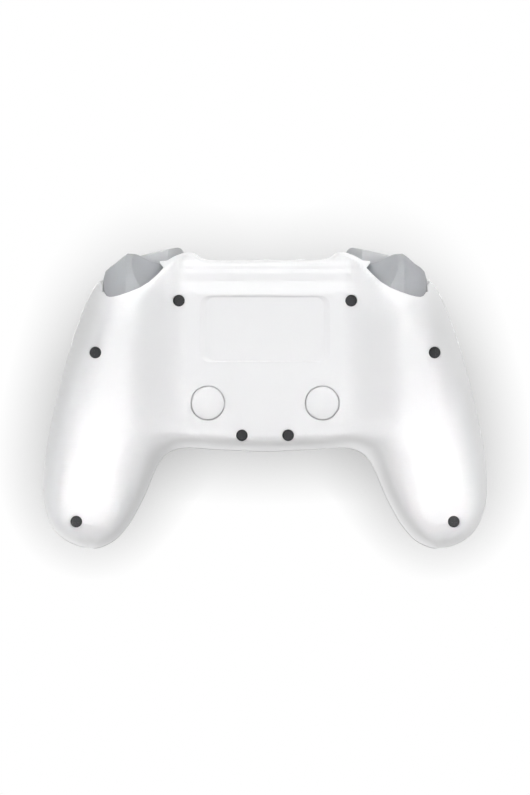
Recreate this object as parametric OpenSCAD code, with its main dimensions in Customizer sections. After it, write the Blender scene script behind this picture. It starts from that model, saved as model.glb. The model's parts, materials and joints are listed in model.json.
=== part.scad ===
// Two-grip gamepad, lying on its back with the face up.
// X runs to the player's right, Y toward the bumpers, Z out of the face. Millimetres.

/* [Shells] */
// Height of the face above the table
face_h = 41; // [40:0.5:43]
// Height of the parting line between the shells
part_h = 25; // [24:0.5:26]
// Height of the flat panel in the middle of the back
panel_h = 9.5; // [8.5:0.25:10.5]
// Drop of the parting line at the grip ends
grip_droop = 7; // [5:0.5:8]
// Drop of the face over the grips, beyond the parting line's own
grip_fall = 3.5; // [2:0.5:5]
// Wall thickness of both shells
wall = 2.2; // [1.8:0.1:2.5]
// Depth of the flat that each grip rests on
rest_flat = 0.25; // [0.15:0.05:0.4]
// Reach of the rounded edge along the grips, on the back
grip_round = 17; // [15:0.5:18]
// Reach of the rounded edge along the top of the back
top_round = 4.5; // [4:0.5:12]
// Reach of the rounded edge along the bottom of the back
bottom_round = 6; // [5:0.5:8]
// Reach of the rounded edge of the face
face_round = 8; // [7:0.5:9]
// Reach of the rounded edge of the face along the grips
face_grip_round = 14; // [12:0.5:15]

/* [Rear screws] */
// Diameter of a rear screw's head
screw_head_d = 3.9; // [3.5:0.1:4.2]
// Thickness of a rear screw's head
screw_head_h = 1.6; // [1.2:0.1:1.8]
// Diameter of a rear screw's shank
screw_d = 2.4; // [2:0.1:2.6]
// Length of a rear screw under its head
screw_len = 15; // [13:0.5:16]
// Height of a rear column under a screw's head
screw_grip = 7; // [6:0.5:8]
// Depth of a rear screw's head below the rim of its well
screw_recess = 0.35; // [0.2:0.05:0.6]
// Wall of a screw column round its well, and of a boss round its bore
column_wall = 1.7; // [1.4:0.1:2]

/* [Label] */
// Width of the label recess
label_w = 43; // [36:1:46]
// Length of the label recess
label_l = 22.9; // [18:0.5:24]
// Depth of the label recess
label_deep = 0.45; // [0.3:0.05:0.6]
// Corner radius of the label recess
label_r = 2; // [1:0.25:3]

/* [Back buttons] */
// Diameter of a back button
back_d = 11.5; // [10:0.25:12.5]
// Height of a back button's crown beyond the panel
back_proud = 0.9; // [0.6:0.1:1.2]
// Thickness of a back button's flange
back_flange = 1.2; // [1:0.1:1.5]
// Length of a back button's stem
back_stem = 3; // [2.5:0.25:3.5]
// Height of a back button's rubber dome
back_dome_h = 1.8; // [1.4:0.1:2]

/* [Triggers] */
// Depth of the trigger pin below the parting line
trigger_pin_drop = 2; // [1.5:0.25:2.5]
// Diameter of the trigger pin
trigger_pin_d = 2; // [1.8:0.1:2.2]
// Diameter of the trigger's hub
trigger_hub_d = 4.8; // [4.4:0.1:5]
// Wall of the trigger
trigger_wall = 1.8; // [1.5:0.1:2]
// Height of the trigger's top edge above the parting line
trigger_rise = 1.4; // [1:0.1:1.6]
// Diameter of the return spring's wire
spring_wire = 0.7; // [0.6:0.05:0.8]

/* [Bumpers] */
// Height of a bumper's lower face above the parting line
bumper_lift = 2.5; // [2.4:0.1:3]
// Depth of a bumper's upper face below the face
bumper_cover = 4.5; // [4:0.25:5.5]
// Diameter of the bumper pin
bumper_pin_d = 2; // [1.8:0.1:2.2]
// Swing of a bumper
bumper_swing = 3.5; // [2.5:0.5:4]

/* [Sticks] */
// Diameter of a stick's cap
stick_cap_d = 18.6; // [17:0.2:19.4]
// Height of a stick's cap above its pivot
stick_rise = 19; // [18:0.25:20]
// Radius of the dome under a stick's cap
stick_dome_r = 12.5; // [12.2:0.1:12.8]
// Wall of the dome
stick_dome_wall = 1.2; // [1:0.1:1.3]
// Side of a stick's housing
stick_box = 14.5; // [14:0.1:14.6]
// Height of a stick's housing
stick_box_h = 8; // [7.6:0.1:8.2]
// Diameter of the post inside a stick
stick_post_d = 4; // [3.6:0.1:4.2]
// Diameter of the gimbal's shafts
gimbal_d = 1.8; // [1.6:0.1:1.9]
// Click travel of a stick
stick_click = 0.5; // [0.3:0.1:0.6]

/* [Face controls] */
// Diameter of a face button
face_button_d = 9.6; // [8.6:0.2:9.8]
// Distance of a face button from the middle of the four
face_button_reach = 9.2; // [8.8:0.1:9.4]
// Height of a face button above the face
face_button_proud = 2.2; // [1.8:0.1:2.6]
// Diameter of a small button
small_button_d = 5.8; // [5:0.2:6.4]
// Height of a small button above the face
small_button_proud = 1; // [0.6:0.1:1.4]
// Width of an arm of the direction pad
dpad_arm_w = 8.4; // [7.4:0.2:9]
// Reach of an arm of the direction pad
dpad_reach = 10.8; // [10:0.1:11]
// Height of the direction pad above the face
dpad_proud = 2.8; // [2.4:0.1:3.2]
// Diameter of the direction pad's pivot ball
dpad_ball_d = 5; // [4.4:0.2:5.4]
// Width of a player light
light_w = 3; // [2.4:0.2:3.4]

/* [Inside] */
// Depth of the main board's upper face below the face
board_drop = 11.8; // [11.6:0.1:12]
// Thickness of the boards
board_t = 1.2; // [1:0.1:1.6]
// Width of the battery pack
battery_w = 46; // [40:1:48]
// Length of the battery pack
battery_l = 25; // [22:0.5:26]
// Thickness of the battery pack
battery_t = 6; // [5:0.25:7]
// Diameter of a rumble motor's can
motor_d = 15; // [13:0.5:16]
// Length of a rumble motor's can
motor_l = 14; // [12:0.5:15]
// Radius of a rumble weight
weight_r = 8.5; // [7:0.25:9]
// Thickness of a rumble weight
weight_t = 6; // [5:0.25:6.5]

/* [Clearances] */
// Gap round a piece that moves in a shell
move_gap = 0.35; // [0.3:0.05:0.45]
// Gap between a piece and the seat that stops it
seat_gap = 0.3; // [0.25:0.05:0.4]
// Radial gap of a pin or post in its bore
pin_gap = 0.05; // [0.03:0.01:0.08]

/* [Hidden] */
$fn = 48;
left = -1;
right = 1;
sides = [left, right];

// The half outline as facing pairs: each pair is one station, from the middle of the pad to the
// tip of the right grip. The outer edge runs over the shoulder, the inner edge round the palm side.
outer_edge = [
    [0, 48.2], [19.5, 48.2], [26, 50.8], [36, 48.4], [49, 45], [58.6, 39.6], [64.9, 26.5],
    [70.1, 9.9], [74.3, -7.5], [76.8, -22.5], [76.6, -37.5], [71.4, -48], [61, -52.5]
];
inner_edge = [
    [0, -18.9], [17, -18.3], [25.5, -17.7], [30.5, -18.1], [33.8, -19.6], [35.9, -21.6], [37.6, -24.4],
    [39.2, -28], [41.2, -33], [43.8, -38.4], [47.6, -44.8], [53, -50.3], [61, -52.5]
];
last_pair = len(outer_edge) - 1;
steps = 3;
half_stations = last_pair*steps;
stations = 2*half_stations;

// Places of the pieces
screw_places = [[29.8, 33.5], [58.8, 15.8], [8, -13], [65.3, -42.8]];
label_place = [0, 23.8];
back_place = [19.8, -1.9];
left_stick_place = [-41, 18.5];
right_stick_place = [22.5, 0];
dpad_place = [-22.5, 1];
face_button_place = [41, 18.5];
plus_place = [17.5, 26];
home_place = [9, 16];
lights_place = [0, -6];
light_pitch = 4.4;
board_screw_places = [[-26, 26], [26, 26], [0, 6]];
pairing_x = -12.5;
motor_place = [58.5, -15];
battery_place = [0, 22];

// Heights that follow the face and the parting line
panel_in = panel_h + wall;
face_in = face_h - wall;
board_top = face_h - board_drop;
board_low = board_top - board_t;
trigger_pin_h = part_h - trigger_pin_drop;
trigger_top = part_h + trigger_rise;
bumper_low = part_h + bumper_lift;
bumper_h = face_h - bumper_cover - bumper_low;

function smooth(t) = let (u = min(max(t, 0), 1)) u*u*(3 - 2*u);
function mix(a, b, t) = a + (b - a)*t;
function mirrored(p, s) = [s*p.x, p.y];
function span(middle, half) = [middle - half, middle + half];

// A smooth curve through four points, between the middle two
function curve(p0, p1, p2, p3, t) =
    0.5*(2*p1 + (p2 - p0)*t + (2*p0 - 5*p1 + 4*p2 - p3)*t*t + (3*p1 - p0 - 3*p2 + p3)*t*t*t);

// A point on one edge at a station, where the other edge carries the curve on past the tip
function edge_point(edge, other, at) =
    let (i = min(floor(at), last_pair - 1))
    curve(
        i == 0 ? mirrored(edge[1], -1) : edge[i - 1], edge[i], edge[i + 1],
        i == last_pair - 1 ? other[last_pair - 1] : edge[i + 2], at - i
    );
outer_rim = [for (k = [0:half_stations]) edge_point(outer_edge, inner_edge, k/steps)];
inner_rim = [for (k = [0:half_stations]) edge_point(inner_edge, outer_edge, k/steps)];
rim = concat(outer_rim, [for (k = [half_stations - 1:-1:0]) inner_rim[k]]);

// Distance of a point from the outline
function segment_distance(p, a, b) =
    let (ab = b - a, t = min(max((p - a)*ab/(ab*ab), 0), 1)) norm(p - a - t*ab);
function rim_distance(p) =
    let (q = [abs(p.x), p.y]) min([for (i = [0:len(rim) - 2]) segment_distance(q, rim[i], rim[i + 1])]);

// How far a rounded edge has risen at a distance from the outline, from 0 to 1
function rise(d, reach, power) = pow(1 - pow(1 - min(max(d/reach, 0), 1), power), 1/power);

// The grips as a share of the whole, from 0 on the panel to 1 on a grip
panel_edge = 27;
panel_blend = 22;
function grip_share(p) =
    smooth((abs(p.x) - (panel_edge - 17*smooth((-6 - p.y)/18)))/panel_blend);
function droop_share(y) = smooth((-10 - y)/42);
function parting(y) = part_h - grip_droop*droop_share(y);

// A grip's round back grows fuller toward the tip and closes there in a shorter reach
function grip_power(y) = 2 + 0.6*smooth((24 - y)/20);
function grip_reach(y) = grip_round*(1 - 0.32*smooth((-18 - y)/28));

// Heights of the back and the face at a point, with a thickness taken off for the inner surfaces
function back_height(p, off = 0) = let (
    g = grip_share(p), d = rim_distance(p),
    reach = mix(mix(bottom_round, top_round, smooth((p.y + 5)/30)), grip_reach(p.y), g),
    depth = mix(part_h - panel_h, parting(p.y) + rest_flat, g)
) parting(p.y) - (depth - off)*rise(d - off, reach - off, mix(2.3, grip_power(p.y), g));
function face_height(p, off = 0) = let (
    g = grip_share(p), d = rim_distance(p),
    reach = mix(face_round, face_grip_round, g*droop_share(p.y - 10)),
    height = face_h - part_h - grip_fall*droop_share(p.y)
) parting(p.y) + (height - off)*rise(d - off, reach - off, 2.2);

// Inner outline of a shell: each edge point moved in by the wall
function inward(rim_points, k, turn) = let (
    a = rim_points[max(k - 1, 0)], b = rim_points[min(k + 1, half_stations)], d = (b - a)/norm(b - a)
) rim_points[k] + wall*turn*[d.y, -d.x];

// Places along one station's line, closer together near the two edges
edge_reach = 13;
function along(k, n_edge, n_mid, length) = let (
    r = min(edge_reach, 0.42*length), last = 2*n_edge + n_mid
) k <= n_edge ? r*(1 - cos(90*k/n_edge))
    : k >= last - n_edge ? length - r*(1 - cos(90*(last - k)/n_edge))
    : r + (length - 2*r)*(k - n_edge)/n_mid;

// Grid points of one surface: two tips first, then every station from the left grip to the right
function grid_points(a_rim, b_rim, n_edge, n_mid, up, off) = let (
    last = 2*n_edge + n_mid,
    tip = a_rim[half_stations]
) concat(
    [for (s = sides) [s*tip.x, tip.y, parting(tip.y)]],
    [for (j = [1:stations - 1]) let (
        at = abs(j - half_stations), s = j < half_stations ? -1 : 1,
        a = mirrored(a_rim[at], s), b = mirrored(b_rim[at], s), length = norm(b - a)
    ) for (k = [0:last]) let (p = a + (b - a)*along(k, n_edge, n_mid, length)/length)
        [p.x, p.y, k == 0 || k == last ? parting(p.y) : up ? face_height(p, off) : back_height(p, off)]]
);
function grid_index(j, k, row) = j == 0 ? 0 : j == stations ? 1 : 2 + (j - 1)*row + k;
function whole(f) = f[0] != f[1] && f[1] != f[2] && f[2] != f[0];
function turned(f) = [f[0], f[2], f[1]];

// A shell as one solid: outer surface, inner surface and the rim between them
outer_edges = 6;
outer_mids = 5;
inner_edges = 3;
inner_mids = 4;
module shell(up) {
    in_a = [for (k = [0:half_stations]) k == half_stations
        ? outer_rim[k] + wall*[0, 1] : inward(outer_rim, k, 1)];
    in_b = [for (k = [0:half_stations]) k == half_stations
        ? outer_rim[k] + wall*[0, 1] : inward(inner_rim, k, -1)];
    skin = grid_points(outer_rim, inner_rim, outer_edges, outer_mids, up, 0);
    lining = grid_points(in_a, in_b, inner_edges, inner_mids, up, wall);
    o_last = 2*outer_edges + outer_mids;
    i_last = 2*inner_edges + inner_mids;
    o = function (j, k) grid_index(j, k, o_last + 1);
    i = function (j, k) len(skin) + grid_index(j, k, i_last + 1);
    faces = concat(
        [for (j = [0:stations - 1], k = [0:o_last - 1]) each [
            [o(j, k), o(j, k + 1), o(j + 1, k + 1)], [o(j, k), o(j + 1, k + 1), o(j + 1, k)]]],
        [for (j = [0:stations - 1], k = [0:i_last - 1]) each [
            [i(j, k), i(j + 1, k + 1), i(j, k + 1)], [i(j, k), i(j + 1, k), i(j + 1, k + 1)]]],
        [for (j = [0:stations - 1]) each [
            [o(j, 0), o(j + 1, 0), i(j + 1, 0)], [o(j, 0), i(j + 1, 0), i(j, 0)],
            [o(j + 1, o_last), o(j, o_last), i(j, i_last)],
            [o(j + 1, o_last), i(j, i_last), i(j + 1, i_last)]]]
    );
    polyhedron(concat(skin, lining), [for (f = faces) if (whole(f)) up ? turned(f) : f]);
}

module at(p, z = 0) { translate([p.x, p.y, z]) children(); }
module on_side(s) { mirror([s < 0 ? 1 : 0, 0, 0]) children(); }
module both_sides() { for (s = sides) on_side(s) children(); }
module along_x(x0, x1, r) { translate([x0, 0, 0]) rotate([0, 90, 0]) cylinder(r = r, h = x1 - x0); }
module along_y(y0, y1, r) { translate([0, y0, 0]) rotate([-90, 0, 0]) cylinder(r = r, h = y1 - y0); }
module block(x, y, z) {
    translate([x[0], y[0], z[0]]) cube([x[1] - x[0], y[1] - y[0], z[1] - z[0]]);
}
module stadium(w, h) {
    square([w - h, h], center = true);
    for (s = sides) translate([s*(w - h)/2, 0]) circle(d = h);
}
module rounded(w, l, r) {
    square([w - 2*r, l], center = true);
    square([w, l - 2*r], center = true);
    for (x = sides, y = sides) translate([x*(w/2 - r), y*(l/2 - r)]) circle(r);
}

// What lies outside a shell near a point, which cuts columns and bosses back to just inside the skin
skin_cover = 0.5;
patch_rings = 3;
patch_sides = 12;
module outside(p, reach, up) {
    n = patch_sides;
    ring_point = function (k, a) p + reach*k/patch_rings*[cos(360*a/n), sin(360*a/n)];
    rings = [for (k = [1:patch_rings], a = [0:n - 1]) ring_point(k, a)];
    end = up ? far : -far;
    height = function (q) up ? face_height(q) - skin_cover : back_height(q) + skin_cover;
    skin = [for (q = concat([p], rings)) [q.x, q.y, height(q)]];
    base = [for (q = concat([p], [for (a = [0:n - 1]) ring_point(patch_rings, a)])) [q.x, q.y, end]];
    i = function (k, a) 1 + (k - 1)*n + a%n;
    b = function (a) len(skin) + 1 + a%n;
    faces = concat(
        [for (a = [0:n - 1]) [0, i(1, a + 1), i(1, a)]],
        [for (k = [1:patch_rings - 1], a = [0:n - 1]) each [
            [i(k, a), i(k, a + 1), i(k + 1, a + 1)], [i(k, a), i(k + 1, a + 1), i(k + 1, a)]]],
        [for (a = [0:n - 1]) each [
            [i(patch_rings, a), i(patch_rings, a + 1), b(a + 1)], [i(patch_rings, a), b(a + 1), b(a)],
            [len(skin), b(a), b(a + 1)]]]
    );
    polyhedron(concat(skin, base), [for (f = faces) up ? turned(f) : f]);
}

// Rear screws and the columns and bosses that they join. A head lies below the whole rim of its well.
far = 100;
boss_r = screw_d/2 + pin_gap + column_wall;
well_r = screw_head_d/2 + move_gap;
column_r = well_r + column_wall;
sunk = 6;
function well_rim(p) = max([for (a = [0:30:330]) back_height(p + well_r*[cos(a), sin(a)])]);
function screw_seat(p) = well_rim(p) + screw_recess + screw_head_h;
function screw_joint(p) = screw_seat(p) + screw_grip;
module rear_screws() color("dimgray") both_sides() for (p = screw_places) at(p) difference() {
    union() {
        translate([0, 0, screw_seat(p) - screw_head_h]) cylinder(d = screw_head_d, h = screw_head_h);
        translate([0, 0, screw_seat(p)]) cylinder(d = screw_d, h = screw_len);
    }
    translate([0, 0, screw_seat(p) - screw_head_h]) for (turn = [0, 90]) rotate(turn)
        cube([0.5*screw_head_d, 0.12*screw_head_d, screw_head_h], center = true);
}
module screw_columns() {
    for (p = screw_places) difference() {
        at(p, screw_joint(p) - screw_grip - sunk) cylinder(r = column_r, h = screw_grip + sunk);
        outside(p, column_r + 1, false);
    }
}
module screw_wells() {
    for (p = screw_places) at(p, 0) {
        translate([0, 0, -far]) cylinder(r = well_r, h = far + screw_seat(p));
        cylinder(d = screw_d + 2*pin_gap, h = part_h);
    }
}
module screw_bosses() {
    for (p = screw_places) difference() {
        at(p, screw_joint(p)) cylinder(r = boss_r, h = face_height(p) - screw_joint(p));
        outside(p, boss_r + 1, true);
    }
}
module screw_pilots() {
    for (p = screw_places) at(p, screw_joint(p) - 1)
        cylinder(d = screw_d + 2*pin_gap, h = screw_len - screw_grip + 1.5);
}

// Triggers: a shape turned about the pin, cut to the outline seen from behind
trigger_pin_y = 36;
trigger_pin_r = trigger_pin_d/2;
trigger_hub_r = trigger_hub_d/2;
trigger_profile = [
    [35, 12.6], [36, 13.8], [43.2, 18.1], [44.4, 18.6], [46.4, 18.7], [48.6, 18.4], [51.8, 17.2],
    [54.4, 15.4], [56.4, 12.6]
];
trigger_outline = [
    [36, 31.5], [36, 44.2], [37.4, 46.7], [39.9, 47.2], [43.6, 49.2], [44.8, 49.6], [47.4, 49.8],
    [49.5, 48.3], [51.7, 46.3], [53.6, 45], [55, 43.6], [55.6, 41.3], [55.9, 38.8], [55.6, 36], [54.8, 31.5]
];
trigger_gap = 0.6;
module trigger_turn(off) {
    translate([0, trigger_pin_y, trigger_pin_h]) rotate([0, 90, 0]) rotate_extrude() polygon(concat(
        [[0, trigger_profile[0].x - max(off, 0)]],
        [for (i = [0:len(trigger_profile) - 1]) let (
            p = trigger_profile[i], out = i == 0 ? -1 : i == len(trigger_profile) - 1 ? 1 : 0
        ) [p[1] + off, p.x + out*max(off, 0)]],
        [[0, trigger_profile[len(trigger_profile) - 1].x + max(off, 0)]]
    ));
}
module trigger_form(off, top) {
    intersection() {
        linear_extrude(top) offset(delta = off) polygon(trigger_outline);
        trigger_turn(off);
    }
}
// The two cheeks of the trigger and the two ears of its bracket, from the middle outward
cheek_x = [[39.2, 41.2], [50, 52]];
hub_x = [38.7, 52.6];
ear_x = [[36.6, 38.4], [52.9, 54.7]];
ear_front = 35.2;
ear_room = 5.9;
tail_window = [[38.6, 52.4], [16, trigger_pin_h + 6]];
module trigger() {
    difference() {
        union() {
            difference() {
                trigger_form(0, trigger_top);
                trigger_form(-trigger_wall, trigger_top + wall);
                translate([0, trigger_pin_y, trigger_pin_h]) {
                    along_x(trigger_profile[0].x, cheek_x[0][0], ear_room);
                    along_x(cheek_x[1][1], far, ear_room);
                }
                block(tail_window[0], [0, trigger_pin_y - trigger_hub_r], tail_window[1]);
            }
            for (x = cheek_x) intersection() {
                trigger_form(-trigger_wall/2, trigger_top);
                block(x, [trigger_pin_y - trigger_hub_r, far], [0, trigger_pin_h + trigger_hub_r]);
            }
            translate([0, trigger_pin_y, trigger_pin_h]) along_x(hub_x[0], hub_x[1], trigger_hub_r);
        }
        translate([0, trigger_pin_y, trigger_pin_h]) along_x(0, far, trigger_pin_r + pin_gap);
    }
}
module left_trigger() color("lightslategray") on_side(left) trigger();
module right_trigger() color("lightslategray") on_side(right) trigger();
module trigger_pocket() {
    intersection() {
        trigger_turn(trigger_gap);
        block([0, far], [0, far], [0, bumper_low - 0.5]);
    }
}
module trigger_pin() {
    translate([0, trigger_pin_y, trigger_pin_h]) along_x(ear_x[0][0], ear_x[1][1], trigger_pin_r);
}
module left_trigger_pin() color("silver") on_side(left) trigger_pin();
module right_trigger_pin() color("silver") on_side(right) trigger_pin();

// Trigger brackets: two ears on an upright plate, with a foot screwed up to the face. The plate's
// back lies just in front of the return spring's upper leg.
spring_r = trigger_hub_r + spring_wire/2 + 0.4;
ear_back = trigger_pin_y - spring_r + spring_wire/2 + pin_gap;
plate_low = bumper_low + 1;
plate_top = face_in - 2.2;
foot_place = [49.5, 34];
foot_t = 2;
foot_half = 2.4;
foot_screw_r = 0.9;
foot_boss_r = 1.9;
module trigger_bracket() {
    difference() {
        union() {
            block([ear_x[0][0], ear_x[1][1]], [ear_back, ear_front], [plate_low, plate_top]);
            at(foot_place) block(span(0, foot_half), span(0, foot_half), [plate_top - foot_t, plate_top]);
            for (x = ear_x) {
                block(x, [ear_back, ear_front], [trigger_pin_h - 2.2, plate_top]);
                translate([0, trigger_pin_y, trigger_pin_h]) along_x(x[0], x[1], trigger_hub_r);
            }
        }
        translate([0, trigger_pin_y, trigger_pin_h]) along_x(0, far, trigger_pin_r + pin_gap);
        at(quarter(90), face_dome_top) cylinder(r = face_flange_r + move_gap, h = far);
        at(foot_place) cylinder(r = foot_screw_r + pin_gap, h = far);
        at(foot_place, plate_low - 1) cylinder(r = 1.8, h = plate_top - foot_t - plate_low + 1);
    }
}
module left_trigger_bracket() color("gainsboro") on_side(left) trigger_bracket();
module right_trigger_bracket() color("gainsboro") on_side(right) trigger_bracket();
foot_screw_len = 3.6;
module bracket_screws() color("silver") both_sides() at(foot_place, plate_top - foot_t) {
    translate([0, 0, -1.2]) cylinder(r = 1.6, h = 1.2);
    cylinder(r = foot_screw_r, h = foot_screw_len);
}

// Return spring: one wire wound round the hub, with a leg up the bracket and a leg to the trigger
spring_pitch = spring_wire + 0.6;
spring_start = 42.6;
spring_first = 180;
spring_turns = 4.25;
spring_rings = 16;
spring_leg_up = 7;
spring_leg_out = 10.5;
function spring_point(t) = let (a = spring_first + 360*t)
    [spring_start + spring_pitch*t, trigger_pin_y + spring_r*cos(a), trigger_pin_h + spring_r*sin(a)];
spring_path = concat(
    [spring_point(0) + [0, 0, spring_leg_up]],
    [for (k = [0:spring_turns*spring_rings]) spring_point(k/spring_rings)],
    [spring_point(spring_turns) + [0, spring_leg_out, 0]]
);
// Sides of a tube along a path that winds round the X direction
function tube_ring(path, k, r, n) = let (
    a = path[max(k - 1, 0)], b = path[min(k + 1, len(path) - 1)], t = (b - a)/norm(b - a),
    u = let (c = cross(t, [1, 0, 0])) c/norm(c), v = cross(u, t)
) [for (q = [0:n - 1]) path[k] + r*(cos(360*q/n)*u + sin(360*q/n)*v)];
module tube(path, r, n = 6) {
    last = len(path) - 1;
    polyhedron(
        [for (k = [0:last]) each tube_ring(path, k, r, n)],
        concat(
            [for (k = [0:last - 1], q = [0:n - 1]) let (p = (q + 1)%n) each [
                [k*n + q, (k + 1)*n + p, (k + 1)*n + q], [k*n + q, k*n + p, (k + 1)*n + p]]],
            [for (q = [1:n - 2]) [0, q + 1, q]],
            [for (q = [1:n - 2]) [last*n, last*n + q, last*n + q + 1]]
        )
    );
}
module left_trigger_spring() color("silver") on_side(left) tube(spring_path, spring_wire/2);
module right_trigger_spring() color("silver") on_side(right) tube(spring_path, spring_wire/2);

// Bumpers: an upright band along the shoulder, swinging on a pin at its inner end
bumper_pin_place = [30.6, 45.2];
bumper_outline = [
    [28.2, 44], [28.2, 50.2], [28.7, 51.7], [29.8, 52.5], [34.6, 51.5], [39, 50.6], [43.7, 49.4],
    [49.5, 47], [54.6, 43.6], [58.2, 39.8], [56.2, 38], [51.5, 41.2], [46, 43.4], [40, 44.6],
    [34.6, 44.6], [33, 43], [30.6, 42.3], [29, 42.8]
];
module bumper() {
    difference() {
        translate([0, 0, bumper_low]) linear_extrude(bumper_h) polygon(bumper_outline);
        at(bumper_pin_place) cylinder(d = bumper_pin_d + 2*pin_gap, h = far);
    }
}
module left_bumper() color("lightslategray") on_side(left) bumper();
module right_bumper() color("lightslategray") on_side(right) bumper();
bumper_gap = 0.5;
module bumper_pocket() {
    translate([0, 0, bumper_low - bumper_gap]) linear_extrude(bumper_h + 2*bumper_gap)
        offset(delta = bumper_gap) for (turn = [0, 0.5, 1]) translate(bumper_pin_place)
            rotate(-turn*bumper_swing) translate(-bumper_pin_place) polygon(bumper_outline);
}
pin_end = 1.6;
pin_low = bumper_low - bumper_gap - pin_end;
pin_high = bumper_low + bumper_h + bumper_gap + pin_end;
module bumper_pin() { at(bumper_pin_place, pin_low) cylinder(d = bumper_pin_d, h = pin_high - pin_low); }
module left_bumper_pin() color("silver") on_side(left) bumper_pin();
module right_bumper_pin() color("silver") on_side(right) bumper_pin();
// A shelf under each bumper takes the lower end of its pin, and the face's wall takes the upper end
module bumper_shelf() {
    block(span(bumper_pin_place.x, 3), span(bumper_pin_place.y, 3), [part_h, bumper_low - bumper_gap]);
}
bumper_switch_x = 46;
bumper_switch_y = 40.5;
module bumper_switches() color("darkslategray") both_sides()
    block(span(bumper_switch_x, 3), [ear_front, bumper_switch_y], [plate_low + 0.5, plate_low + 4.5]);

// Back buttons, their rubber domes and the small board behind them
back_flange_low = panel_in + seat_gap;
back_flange_d = back_d + 3;
back_stem_top = back_flange_low + back_flange + back_stem;
back_board_low = back_stem_top + seat_gap + back_dome_h;
back_crown = 0.5;
back_low = panel_h - back_proud;
module back_button() at(back_place) rotate_extrude() polygon([
    [0, back_low], [0.55*back_d/2, back_low + 0.12*back_crown],
    [0.85*back_d/2, back_low + 0.5*back_crown], [back_d/2, back_low + back_crown + 0.3],
    [back_d/2, back_flange_low], [back_flange_d/2, back_flange_low],
    [back_flange_d/2, back_flange_low + back_flange], [2, back_flange_low + back_flange],
    [2, back_stem_top], [0, back_stem_top]
]);
module left_back_button() color("whitesmoke") on_side(left) back_button();
module right_back_button() color("whitesmoke") on_side(right) back_button();
module back_button_domes() color("dimgray") both_sides() at(back_place, back_stem_top + seat_gap)
    cylinder(r = 2.6, h = back_dome_h);
back_board_l = 9;
post_r = 2;
post_places = [[9.5, -1.9], [30.5, -1.9]];
module back_button_board() color("seagreen") at([0, back_place.y], back_board_low) linear_extrude(board_t)
    square([2*post_places[1].x + 2*post_r, back_board_l], center = true);
module back_posts() {
    for (p = post_places) at(p, panel_in - wall/2)
        cylinder(r = post_r, h = back_board_low - panel_in + wall/2);
}

// Battery pack on the inside of the panel, between low ribs
battery_low = panel_in + pin_gap;
rib_t = 1.2;
rib_h = 3;
module battery_pack() color("royalblue") at(battery_place, battery_low) linear_extrude(battery_t)
    rounded(battery_w, battery_l, 2);
module battery_ribs() {
    x = battery_w/2 + seat_gap;
    y = battery_l/2 + seat_gap;
    at(battery_place, panel_in - wall/2) {
        block([x, x + rib_t], [-6, 6], [0, wall/2 + rib_h]);
        block([8, 16], [-y - rib_t, -y], [0, wall/2 + rib_h]);
    }
}

// Rumble motors lie along the grips in saddles, each with a half-round weight on its shaft
motor_h = 14;
motor_r = motor_d/2;
motor_shaft_r = 1;
weight_gap = 0.6;
weight_bore_gap = 0.03;
saddle_t = 1.6;
saddle_half = 4.5;
module rumble_motor() {
    translate([motor_place.x, motor_place.y, motor_h]) {
        along_y(-motor_l/2, motor_l/2, motor_r);
        along_y(-motor_l/2 - weight_gap - weight_t - 1, 0, motor_shaft_r);
    }
}
module rumble_weight() {
    translate([motor_place.x, motor_place.y - motor_l/2 - weight_gap - weight_t, motor_h]) difference() {
        union() {
            intersection() {
                along_y(0, weight_t, weight_r);
                block([-weight_r, weight_r], [-1, weight_t + 1], [-weight_r, 0]);
            }
            along_y(0, weight_t, 2.6);
        }
        along_y(-1, weight_t + 1, motor_shaft_r + weight_bore_gap);
    }
}
module motor_saddles() {
    difference() {
        for (end = sides) translate([motor_place.x, motor_place.y + end*0.32*motor_l, 0])
            block(span(0, saddle_half), span(0, saddle_t/2), [0.85*wall, motor_h - 2]);
        translate([motor_place.x, motor_place.y, motor_h]) along_y(-motor_l, motor_l, motor_r + pin_gap);
    }
}
module left_rumble_motor() color("silver") on_side(left) rumble_motor();
module right_rumble_motor() color("silver") on_side(right) rumble_motor();
module left_rumble_weight() color("gray") on_side(left) rumble_weight();
module right_rumble_weight() color("gray") on_side(right) rumble_weight();

// Sticks: a housing on the board, a gimbal ring, a sliding post and a cap with a dome
stick_pivot_h = board_top + 4.8;
stick_hole_r = stick_dome_r - 0.4;
gimbal_r = gimbal_d/2;
stick_post_r = stick_post_d/2;
housing_wall = 1;
housing_in = stick_box - 2*housing_wall;
ring_out = [10.4, 8.4];
ring_in = [7, 5.6];
ring_h = 2.4;
module stick_housing() {
    difference() {
        translate([0, 0, board_top]) linear_extrude(stick_box_h) square(stick_box, center = true);
        translate([0, 0, board_top + housing_wall]) linear_extrude(stick_box_h - housing_wall - 0.7)
            square(housing_in, center = true);
        translate([0, 0, board_top + housing_wall]) cylinder(r = 5.6, h = stick_box_h);
        translate([0, 0, stick_pivot_h]) along_x(-stick_box, stick_box, gimbal_r + pin_gap);
    }
}
module stick_yoke() {
    translate([0, 0, stick_pivot_h]) difference() {
        union() {
            translate([0, 0, -ring_h/2]) linear_extrude(ring_h) difference() {
                square(ring_out, center = true);
                square(ring_in, center = true);
            }
            for (s = sides) on_side(s) along_x(ring_out.x/2 - 0.5, stick_box/2, gimbal_r);
        }
        along_y(-ring_out.y, ring_out.y, gimbal_r + pin_gap);
    }
}
stick_shaft_low = 4;
stick_shaft_r = stick_post_r + 1.2;
stick_post_top = 9;
module stick_rocker() {
    translate([0, 0, stick_pivot_h]) {
        translate([0, 0, -1.4]) cylinder(r = stick_post_r, h = stick_post_top + 1.4);
        along_y(-ring_out.y/2, ring_out.y/2, gimbal_r);
    }
}
stick_cap_r = stick_cap_d/2;
stick_cap_low = stick_dome_r;
stick_bore_top = stick_post_top + stick_click + seat_gap;
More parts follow.
